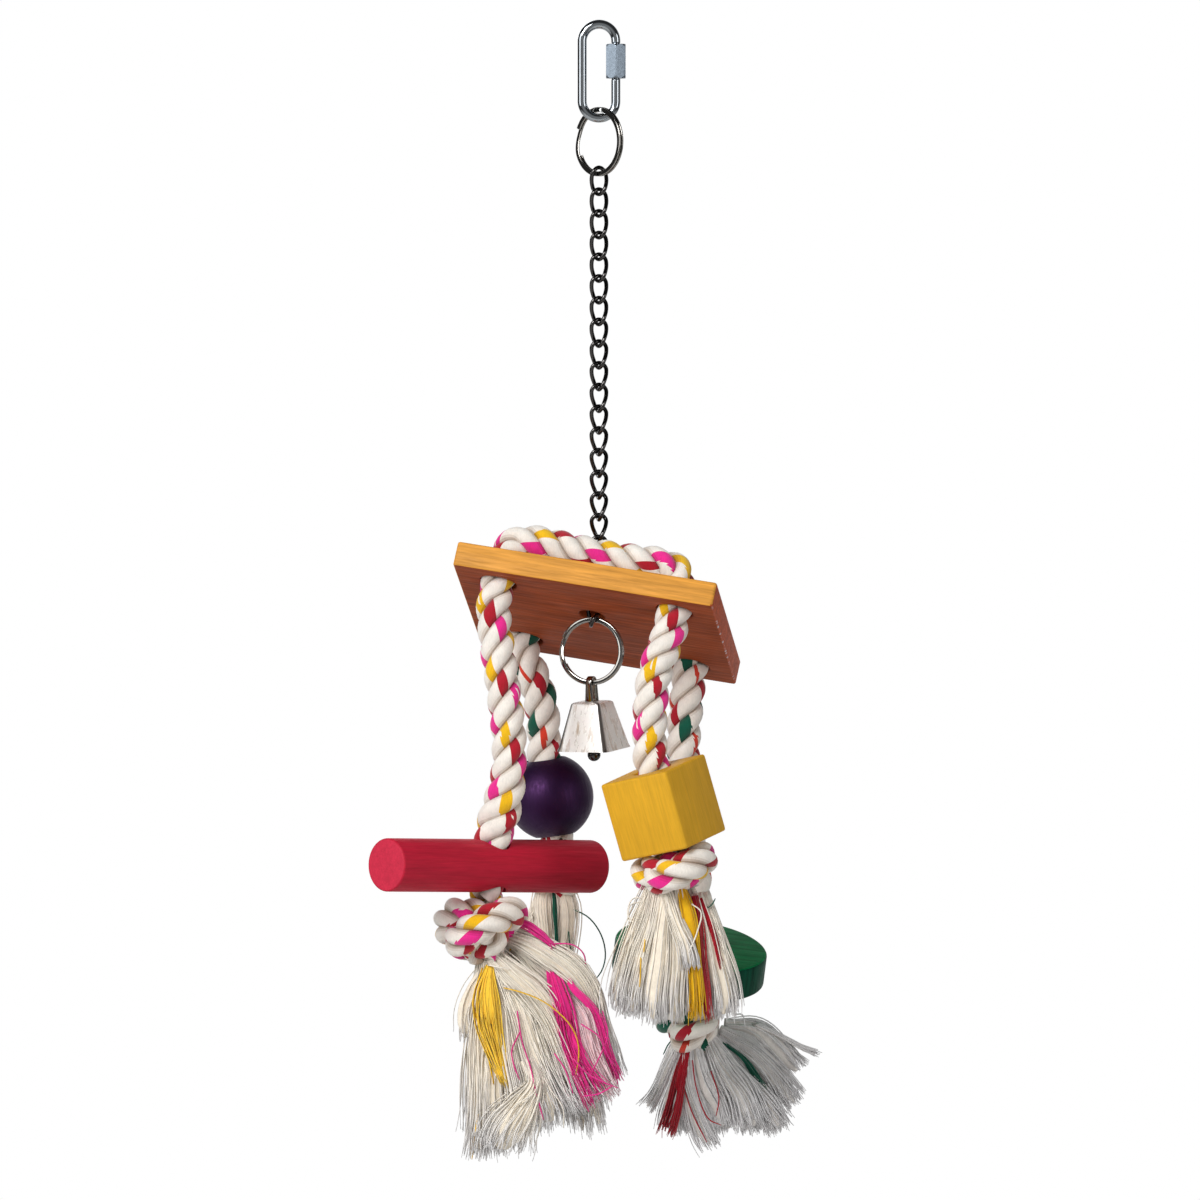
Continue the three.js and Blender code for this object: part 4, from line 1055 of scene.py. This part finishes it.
def rounded(corner_out, corner_z, radius, start, steps=5):
    """A quarter-round of a profile about a centre, from a start angle in degrees, clockwise."""
    angles = np.radians(start - np.linspace(0, 90, steps))
    return [(corner_out + radius * math.cos(a), corner_z + radius * math.sin(a)) for a in angles]


def ball_bead():
    mouth = BORE + BALL_RIM
    top = math.acos(mouth / BALL_RADIUS)
    around = [(BALL_RADIUS * math.cos(a), BALL_RADIUS * math.sin(a))
              for a in np.linspace(top, -top, BALL_RINGS)]
    inner = math.sqrt(BALL_RADIUS ** 2 - mouth ** 2) - BALL_RIM
    return lathe([(BORE, inner), *around, (BORE, -inner)], BALL_SEGMENTS)


def disc_bead():
    half, mouth, shoulder = DISC_HEIGHT / 2, BORE + DISC_RIM, DISC_RADIUS - DISC_EDGE
    return lathe([
        (BORE, half - DISC_RIM), (mouth, half), *rounded(shoulder, half - DISC_EDGE, DISC_EDGE, 90),
        *rounded(shoulder, DISC_EDGE - half, DISC_EDGE, 0), (mouth, -half), (BORE, DISC_RIM - half),
    ], DISC_SEGMENTS)


def rounded_rectangle(width, depth, corner, inset, steps=5):
    """An outline with round corners, drawn in by inset."""
    points = []
    for i, (x_sign, y_sign) in enumerate([(1, 1), (-1, 1), (-1, -1), (1, -1)]):
        for j in range(steps):
            angle = math.pi / 2 * (i + j / (steps - 1))
            points.append((
                x_sign * (width / 2 - corner) + (corner - inset) * math.cos(angle),
                y_sign * (depth / 2 - corner) + (corner - inset) * math.sin(angle),
            ))
    return points


def circle(centre, radius, sides=56):
    return [(centre[0] + radius * math.cos(2 * math.pi * k / sides),
             centre[1] + radius * math.sin(2 * math.pi * k / sides)) for k in range(sides)]


def plate(name, outline, holes, thickness, edge, look, place):
    """A slab with rounded edges. outline(inset) and each hole(inset) give loops of points."""
    bend = [math.radians(a) for a in (0, 22.5, 45, 67.5, 90)]
    rows = [(edge * (1 - math.sin(a)), thickness / 2 - edge * (1 - math.cos(a))) for a in bend]
    rows += [(inset, -z) for inset, z in reversed(rows)]
    points, faces, rims = [], [], []
    for loop_index, loop in enumerate([outline, *holes]):
        start = len(points)
        size = len(loop(0))
        for inset, z in rows:
            points += [(x, y, z) for x, y in loop(inset)]
        wall = grid_faces(len(rows), size) + start
        faces += (wall[:, ::-1] if loop_index == 0 else wall).tolist()
        rims.append((start, start + (len(rows) - 1) * size, size))
    for side in (0, 1):
        faces += flat_cover(points, rims, side)
    return new_object(name, np.array(points) * MM, faces, look, place, sharp=40)


def flat_cover(points, rims, side):
    """Triangles that cover a slab's top or bottom between its outline and its holes."""
    loops = [[Vector((*points[rim[side] + k][:2], 0)) for k in range(rim[2])] for rim in rims]
    index = [rim[side] + k for rim in rims for k in range(rim[2])]
    covered = []
    for triangle in tessellate_polygon(loops):
        a, b, c = (Vector(points[index[k]]) for k in triangle)
        upward = (b - a).cross(c - a).z > 0
        corners = [index[k] for k in triangle]
        covered.append(corners if upward == (side == 0) else corners[::-1])
    return covered


def hole_at(centre, diameter):
    return lambda inset: circle(centre, diameter / 2 + inset)


def board_look(face):
    """A face's look: 1, in painted shade, for the underside and the holes, 3 for the worn edge, 2 for the
    ends, or else 0.
    """
    x, _, z = face.normal
    off_middle = max(abs(face.center.x) / BOARD_SIZE[0], abs(face.center.y) / BOARD_SIZE[1])
    in_hole = off_middle < HOLES_REACH * MM
    if z < -FACING or (in_hole and z < HOLE_WALL_UP):
        return 1
    if x > WORN_EDGE_OUT and WORN_EDGE_UP[0] < z < WORN_EDGE_UP[1]:
        return 3
    return 2 if abs(x) > FACING else 0


def make_board():
    length, depth, thickness = BOARD_SIZE
    centres = [((0, 0), CHAIN_HOLE), *[(centre, ROPE_HOLE) for centre in HOLES.values()]]
    holes = [hole_at((x, y - CHAIN_HOLE_FORWARD), size) for (x, y), size in centres]
    middle = Matrix.Translation(Vector((0, CHAIN_HOLE_FORWARD, -thickness / 2)) * MM)
    slab = plate("board_slab", lambda inset: rounded_rectangle(length, depth, BOARD_CORNER, inset), holes,
                 thickness, BOARD_EDGE, honey_wood, BOARD_PLACE @ middle)
    for look in (honey_shaded_under, honey_end, honey_worn):
        slab.data.materials.append(look)
    for face in slab.data.polygons:
        face.material_index = board_look(face)
    dress(slab, "board", "honey_wood", "board")


def make_cube(place):
    cube = plate("cube_bead", lambda inset: rounded_rectangle(CUBE_SIDE, CUBE_SIDE, CUBE_CORNER, inset),
                 [hole_at((0, 0), 2 * BORE)], CUBE_SIDE, CUBE_EDGE, yellow_wood, place)
    return dress(cube, "cube_spinner", "yellow_wood", "cube_block")


def make_dowel(place):
    """A round bar along X, bored through along Z, its ends in painted light: a paler copy of the red stain.
    """
    half, shoulder, past = DOWEL_LENGTH / 2, DOWEL_RADIUS - DOWEL_EDGE, DOWEL_RADIUS + 1
    points, faces = lathe([
        (0, half), *rounded(shoulder, half - DOWEL_EDGE, DOWEL_EDGE, 90),
        *rounded(shoulder, DOWEL_EDGE - half, DOWEL_EDGE, 0), (0, -half),
    ], DOWEL_SEGMENTS)
    bar = new_object("dowel_bead", points[:, [2, 1, 0]] * (MM, MM, -MM), faces, red_wood, place)
    cut, cut_faces = lathe([(0, past), (BORE, past), (BORE, -past), (0, -past)], BORE_SEGMENTS)
    cutter = new_object("cutter", cut * MM, cut_faces, red_wood, place)
    bore = bar.modifiers.new("bore", "BOOLEAN")
    bore.object = cutter
    bpy.context.view_layer.update()
    bored = bpy.data.meshes.new_from_object(bar.evaluated_get(bpy.context.evaluated_depsgraph_get()))
    bar.modifiers.clear()
    bar.data = bored
    bpy.data.objects.remove(cutter)
    bored.set_sharp_from_angle(angle=math.radians(40))
    bored.materials.append(red_wood_lit_end)
    for face in bored.polygons:
        # The ends take the paler copy of the red stain: painted light
        face.material_index = 1 if abs(face.normal.x) > DOWEL_END_FACING else 0
    return dress(bar, "dowel_spinner", "red_wood", "dowel_bar")


def make_ball(place):
    points, faces = ball_bead()
    ball = new_object("ball_round", points * MM, faces, purple_wood, place, sharp=50)
    return dress(ball, "ball_spinner", "purple_wood", "ball_bead")


def make_disc(place):
    points, faces = disc_bead()
    disc = new_object("disc_wheel", points * MM, faces, green_top, place, sharp=40)
    disc.data.materials.append(green_shaded_side)
    for face in disc.data.polygons:
        # The rim takes the darker copy of the green stain: painted shade
        face.material_index = 0 if abs(face.normal.z) > DISC_FACING else 1
    return dress(disc, "disc_spinner", "green_wood", "disc_bead")


BEADS = {"dowel": make_dowel, "cube": make_cube, "ball": make_ball, "disc": make_disc}
make_board()
for name, leg in made_legs.items():
    bead = BEADS[name](leg["bead_place"])


# Metal: quick link, rings, chain and bell, each as the CAD part has it
LINK_WIRE = 3.5
LINK_BOW = 6.35
LINK_LEG = 22.7
LINK_CENTRE = -15.95
LINK_OPENING = (3.1, 8.1)
LINK_POINTS = 420
LINK_SIDES = 28
SCREW_DEPTH = 0.1
SCREW_PITCH = 0.8
SCREW_PAST_NUT = 0.6
NUT_ACROSS_FLATS = 7.4
NUT_LENGTH = 13
NUT_TOP = 1.1
NUT_GAP = 0.2
NUT_SEGMENTS = 72
NUT_END = [(0, 3.55), (0.12, 3.75), (0.35, 3.95), (0.7, 4.15), (1.1, 9)]
RING_WIRE = (1.9, 0.8)
RING_PITCH = 1.3
RING_JOG = 50
RING_POINTS = 320
RING_SIDES = 16
RING_SQUARE = 0.7
UPPER_RING = 26.2
LOWER_RING = 25.7
UPPER_RING_TURN = -49
LOWER_RING_TURN = -20
CHAIN_LINKS = 21
LINKS_IN_BOARD = 2
CHAIN_WIRE = 1.6
CHAIN_BOW = 2.8
CHAIN_LEG = 4.49
CHAIN_TWIST = 90
CHAIN_DRIFT = -2.05
CHAIN_POINTS = 72
CHAIN_SIDES = 14
CHAIN_OUTWARD = (1, 1, 0.55)


def oval(distance, bow, leg):
    """Points of an upright oval in XZ, by distance along it from the top of the right leg."""
    half = math.pi * bow
    points = []
    for along in np.asarray(distance) % (2 * (leg + half)):
        if along < leg:
            points.append((bow, 0, leg / 2 - along))
        elif along < leg + half:
            angle = (along - leg) / bow
            points.append((bow * math.cos(angle), 0, -leg / 2 - bow * math.sin(angle)))
        elif along < 2 * leg + half:
            points.append((-bow, 0, along - half - 1.5 * leg))
        else:
            angle = (along - 2 * leg - half) / bow
            points.append((-bow * math.cos(angle), 0, leg / 2 + bow * math.sin(angle)))
    return np.array(points)


def make_quick_link():
    """A round wire bent to an oval, open at its right leg. Both ends have threads inside the nut."""
    around = 2 * (LINK_LEG + math.pi * LINK_BOW)
    distance = np.linspace(LINK_OPENING[1], around + LINK_OPENING[0], LINK_POINTS)
    line = oval(distance, LINK_BOW, LINK_LEG) + (0, 0, LINK_CENTRE)
    _, side, up = carried_frames(line)
    screw = SCREW_DEPTH * np.sin(2 * np.pi * distance / SCREW_PITCH) - SCREW_DEPTH
    lower_end = distance < NUT_TOP + NUT_LENGTH + SCREW_PAST_NUT
    upper_end = distance > around + NUT_TOP - SCREW_PAST_NUT
    radius = LINK_WIRE / 2 + np.where(lower_end | upper_end, screw, 0)
    section = round_section(1.0, LINK_SIDES) * radius[:, None, None]
    link = new_object("quick_link_wire", swept(line, side, up, section) * MM,
                      tube_faces(len(line), LINK_SIDES), zinc, sharp=50)
    dress(link, "quick_link", "zinc", "quick_link")


def make_nut():
    """A six-sided sleeve with rounded ends, a corner towards the front."""
    turn = np.arange(NUT_SEGMENTS) * 2 * np.pi / NUT_SEGMENTS
    angle = turn - np.pi / 2
    flat = NUT_ACROSS_FLATS / 2 / np.cos(turn % (np.pi / 3) - np.pi / 6)
    rows = [(0, LINK_WIRE / 2 + NUT_GAP), *NUT_END]
    rows += [(NUT_LENGTH - z, limit) for z, limit in reversed(rows)]
    points = []
    for z, limit in rows:
        out = np.minimum(flat, limit)
        height = np.full(NUT_SEGMENTS, float(z))
        points.append(np.stack([out * np.cos(angle), out * np.sin(angle), height], -1))
    faces = grid_faces(len(rows), NUT_SEGMENTS, True)
    low = LINK_CENTRE + LINK_LEG / 2 - NUT_TOP - NUT_LENGTH
    place = Matrix.Translation(Vector((LINK_BOW, 0, low)) * MM)
    nut = new_object("nut_sleeve", np.vstack(points) * MM, faces, zinc_nut, place, sharp=28)
    dress(nut, "link_nut", "zinc", "link_nut")


def make_ring(node, outside, top, turn):
    """A split ring: two flat turns of wire with one jog between them, on its left."""
    width, thickness = RING_WIRE
    mean = (outside - width) / 2
    jog = math.radians(RING_JOG)
    angle = jog / 2 + np.linspace(0, 4 * np.pi - jog, RING_POINTS)
    share = np.clip((angle - (2 * np.pi - jog / 2)) / jog, 0, 1)
    aside = RING_PITCH * (share * share * (3 - 2 * share) - 0.5)
    outward = np.stack([-np.cos(angle), np.zeros_like(angle), np.sin(angle)], -1)
    centre = outward * mean + np.stack([0 * aside, aside, 0 * aside], -1) - (0, 0, mean)
    across = np.tile((0.0, 1.0, 0.0), (len(angle), 1))
    section = squared_section(RING_SIDES, RING_SQUARE) * (width / 2, thickness / 2)
    place = Matrix.Translation(top) @ turned(turn)
    ring = new_object(f"{node}_coil", swept(centre, outward, across, section) * MM,
                      tube_faces(len(angle), RING_SIDES)[:, ::-1], nickel, place, sharp=50)
    dress(ring, node, "nickel", node)


def make_rings():
    edge = RING_WIRE[0] / 2 * MM
    _, upper_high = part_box("upper_ring")
    make_ring("upper_ring", UPPER_RING, Vector((0, 0, upper_high.z - edge)), UPPER_RING_TURN)
    low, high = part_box("lower_ring")
    lower_top = Vector((*((low + high) / 2)[:2], high.z - edge))
    make_ring("lower_ring", LOWER_RING, lower_top, LOWER_RING_TURN)


def chain_mesh():
    """An oval link whose wire turns a quarter turn from its top bow to its bottom bow."""
    around = 2 * (CHAIN_LEG + math.pi * CHAIN_BOW)
    line = oval(np.arange(CHAIN_POINTS) * around / CHAIN_POINTS, CHAIN_BOW, CHAIN_LEG)
    half = CHAIN_LEG / 2 + CHAIN_BOW + CHAIN_WIRE / 2
    turn = math.radians(CHAIN_TWIST / 2) * np.sin(np.pi / 2 * line[:, 2] / half)
    line = np.stack([line[:, 0] * np.cos(turn), line[:, 0] * np.sin(turn), line[:, 2]], -1)
    forward = unit(np.roll(line, -1, 0) - np.roll(line, 1, 0))
    outward = line * CHAIN_OUTWARD
    outward = unit(outward - forward * (outward * forward).sum(1, keepdims=True))
    points = swept(line, outward, np.cross(forward, outward), round_section(CHAIN_WIRE / 2, CHAIN_SIDES))
    return points, tube_faces(CHAIN_POINTS, CHAIN_SIDES, True)


def make_chain():
    points, faces = chain_mesh()
    first = UPPER_RING_TURN + CHAIN_TWIST / 2
    free = CHAIN_LINKS - LINKS_IN_BOARD
    for number in range(1, CHAIN_LINKS + 1):
        node = f"chain_link_{number:02d}"
        low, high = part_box(node)
        turn = turned(first + (number - 1) * CHAIN_DRIFT)
        if number > free:
            turn = board_turn.to_4x4() @ turned(-BOARD_LIE[2]) @ turn
        link = new_object(f"{node}_wire", points * MM, faces, dark_nickel,
                          Matrix.Translation((low + high) / 2) @ turn)
        dress(link, "board" if number > free else f"chain_{number:02d}", "nickel", node)


make_quick_link()
make_nut()
make_rings()
make_chain()

# Bell: a square shell on a bent strap, with a clapper hooked on the strap's inner eye
BELL_TOP = -7.2
BELL_HEIGHT = 18
BELL_TOP_WIDTH = 12.8
BELL_MOUTH = 20.8
BELL_WALL = 0.8
BELL_ROOF = 2
BELL_LIP = 0.6
BELL_SQUARE = 9
BELL_TURN = -8
BELL_TILT = 6.3
BELL_SHOULDER = [(1.6, 0), (0.8, 0.12), (0.25, 0.45)]
BELL_SIDE_TOP = 1.0
BELL_LIP_TOP = 1.4
BELL_LIP_CURVE = (0.3, 0.7)
BELL_ROWS = 8
BELL_SEGMENTS = 160
BELL_AXIS = 0.01
STRAP = 0.7
STRAP_WIDTHS = (3.4, 2.4)
STRAP_SIDES = 16
STRAP_SQUARE = 0.4
STRAP_CORNER = [(0.5, 0), (0.1, 0.35), (0, 0.95)]
STRAP_SIDE = (1.55, 0.5)
STRAP_ROWS = 8
EYE_POINTS = 25
EYE_MIDDLE = -0.08
EYE = 2.15
FOOT = 4
FOOT_MIDDLE = -8.65
INNER_EYE = 1.85
INNER_EYE_MIDDLE = -10.5
INNER_EYE_POINTS = 32
CLAPPER_PIVOT = -12.35
CLAPPER_WIRE = 0.9
CLAPPER_POINTS = 60
CLAPPER_SIDES = 12
CLAPPER_BALL = 5
CLAPPER_BALL_RINGS = 17
CLAPPER_BALL_SEGMENTS = 28
CLAPPER_ROUTE = [(-2.15, 0, -1.4), (-2.15, 0, 0.7), (0, 0, 1.4), (2.15, 0, 0.7), (2.15, 0, -1.4),
                 (0, 0, -5.7), (0, 0, -10.4), (0, 0, -15.05)]

ring_bottom = Matrix.Translation(pivot_of("bell_swing"))
BELL_PLACE = ring_bottom @ turned(LOWER_RING_TURN) @ turned(BELL_TILT, "X") @ turned(BELL_TURN)


def make_bell_shell():
    top, mouth, foot = BELL_TOP_WIDTH / 2, BELL_MOUTH / 2, BELL_TOP - BELL_HEIGHT
    lip = foot + BELL_LIP_TOP
    slope = [(top + (mouth - top) * t, BELL_TOP - BELL_SIDE_TOP + (lip - BELL_TOP + BELL_SIDE_TOP) * t)
             for t in np.linspace(0, 1, BELL_ROWS)]
    shoulder = [(top - inset, BELL_TOP - drop) for inset, drop in BELL_SHOULDER]
    curve_out, curve_up = BELL_LIP_CURVE
    outside = [(BELL_AXIS, BELL_TOP), *shoulder, *slope, (mouth + curve_out, foot + curve_up),
               (mouth + BELL_LIP, foot)]
    inside = [(out - BELL_WALL, max(z, foot) - (0 if z < BELL_TOP - BELL_ROOF else BELL_WALL))
              for out, z in reversed(outside[2:])]
    points, faces = lathe([*outside, *inside, (BELL_AXIS, BELL_TOP - BELL_WALL)], BELL_SEGMENTS)
    angle = np.arctan2(points[:, 1], points[:, 0])
    square = np.abs(np.cos(angle)) ** BELL_SQUARE + np.abs(np.sin(angle)) ** BELL_SQUARE
    points[:, :2] *= (square ** (-1 / BELL_SQUARE))[:, None]
    shell = new_object("bell_square_shell", points * MM, faces, bell_nickel, BELL_PLACE, sharp=30)
    dress(shell, "bell", "nickel", "bell_shell")


def strap_parts(line, widths, closed=False):
    """A flat strap bent along a line in the YZ plane, its flat side along X."""
    ends = np.vstack([line[-1:], line, line[:1]]) if closed else np.vstack([line[:1], line, line[-1:]])
    forward = unit(ends[2:] - ends[:-2])
    wide = np.tile((1.0, 0.0, 0.0), (len(line), 1))
    section = squared_section(STRAP_SIDES, STRAP_SQUARE) / 2
    section = section[None] * np.stack([np.full(len(line), STRAP), widths], -1)[:, None]
    points = swept(line, np.cross(forward, wide), wide, section)
    return points, tube_faces(len(line), STRAP_SIDES, closed)[:, ::-1]


def arc_in_yz(radius, height, angle):
    return np.stack([0 * angle, radius * np.cos(angle), height + radius * np.sin(angle)], -1)


def make_hanger():
    """A strap over the ring, its feet clinched under the bell's top. An eye below holds the clapper."""
    over = arc_in_yz(EYE, EYE_MIDDLE, np.linspace(0, np.pi, EYE_POINTS))
    side_low, side_high = FOOT_MIDDLE + STRAP_SIDE[0], EYE_MIDDLE - STRAP_SIDE[1]
    right = [(0, FOOT, FOOT_MIDDLE), *[(0, EYE + out, FOOT_MIDDLE + up) for out, up in STRAP_CORNER]]
    right += [(0, EYE, z) for z in np.linspace(side_low, side_high, STRAP_ROWS)]
    left = [(x, -y, z) for x, y, z in reversed(right)]
    line = np.vstack([right, over, left])
    loop = strap_parts(line, np.interp(line[:, 2], (BELL_TOP, 0), STRAP_WIDTHS))
    turn = np.arange(INNER_EYE_POINTS) * 2 * np.pi / INNER_EYE_POINTS
    widths = np.full(INNER_EYE_POINTS, STRAP_WIDTHS[1])
    eye = strap_parts(arc_in_yz(INNER_EYE, INNER_EYE_MIDDLE, turn), widths, True)
    points = np.vstack([loop[0], eye[0]])
    faces = np.vstack([loop[1], eye[1] + len(loop[0])])
    hanger = new_object("bell_strap", points * MM, faces, nickel, BELL_PLACE, sharp=40)
    dress(hanger, "bell", "nickel", "bell_hanger")


def make_clapper():
    line = spaced(smooth_curve(CLAPPER_ROUTE), CLAPPER_POINTS)
    _, side, up = carried_frames(line)
    wire = swept(line, side, up, round_section(CLAPPER_WIRE / 2, CLAPPER_SIDES))
    bend = np.linspace(np.pi / 2, -np.pi / 2, CLAPPER_BALL_RINGS)[1:-1]
    radius = CLAPPER_BALL / 2
    rings = [(radius * math.cos(a), CLAPPER_ROUTE[-1][2] + radius * math.sin(a)) for a in bend]
    ball, _ = lathe(rings, CLAPPER_BALL_SEGMENTS)
    ball_faces = tube_faces(len(rings), CLAPPER_BALL_SEGMENTS)[:, ::-1]
    faces = np.vstack([tube_faces(len(line), CLAPPER_SIDES), ball_faces + len(wire)])
    place = BELL_PLACE @ Matrix.Translation((0, 0, CLAPPER_PIVOT * MM))
    clapper = new_object("clapper_ball", np.vstack([wire, ball]) * MM, faces, dark_nickel, place)
    dress(clapper, "clapper", "nickel", "bell_clapper")


make_bell_shell()
make_hanger()
make_clapper()
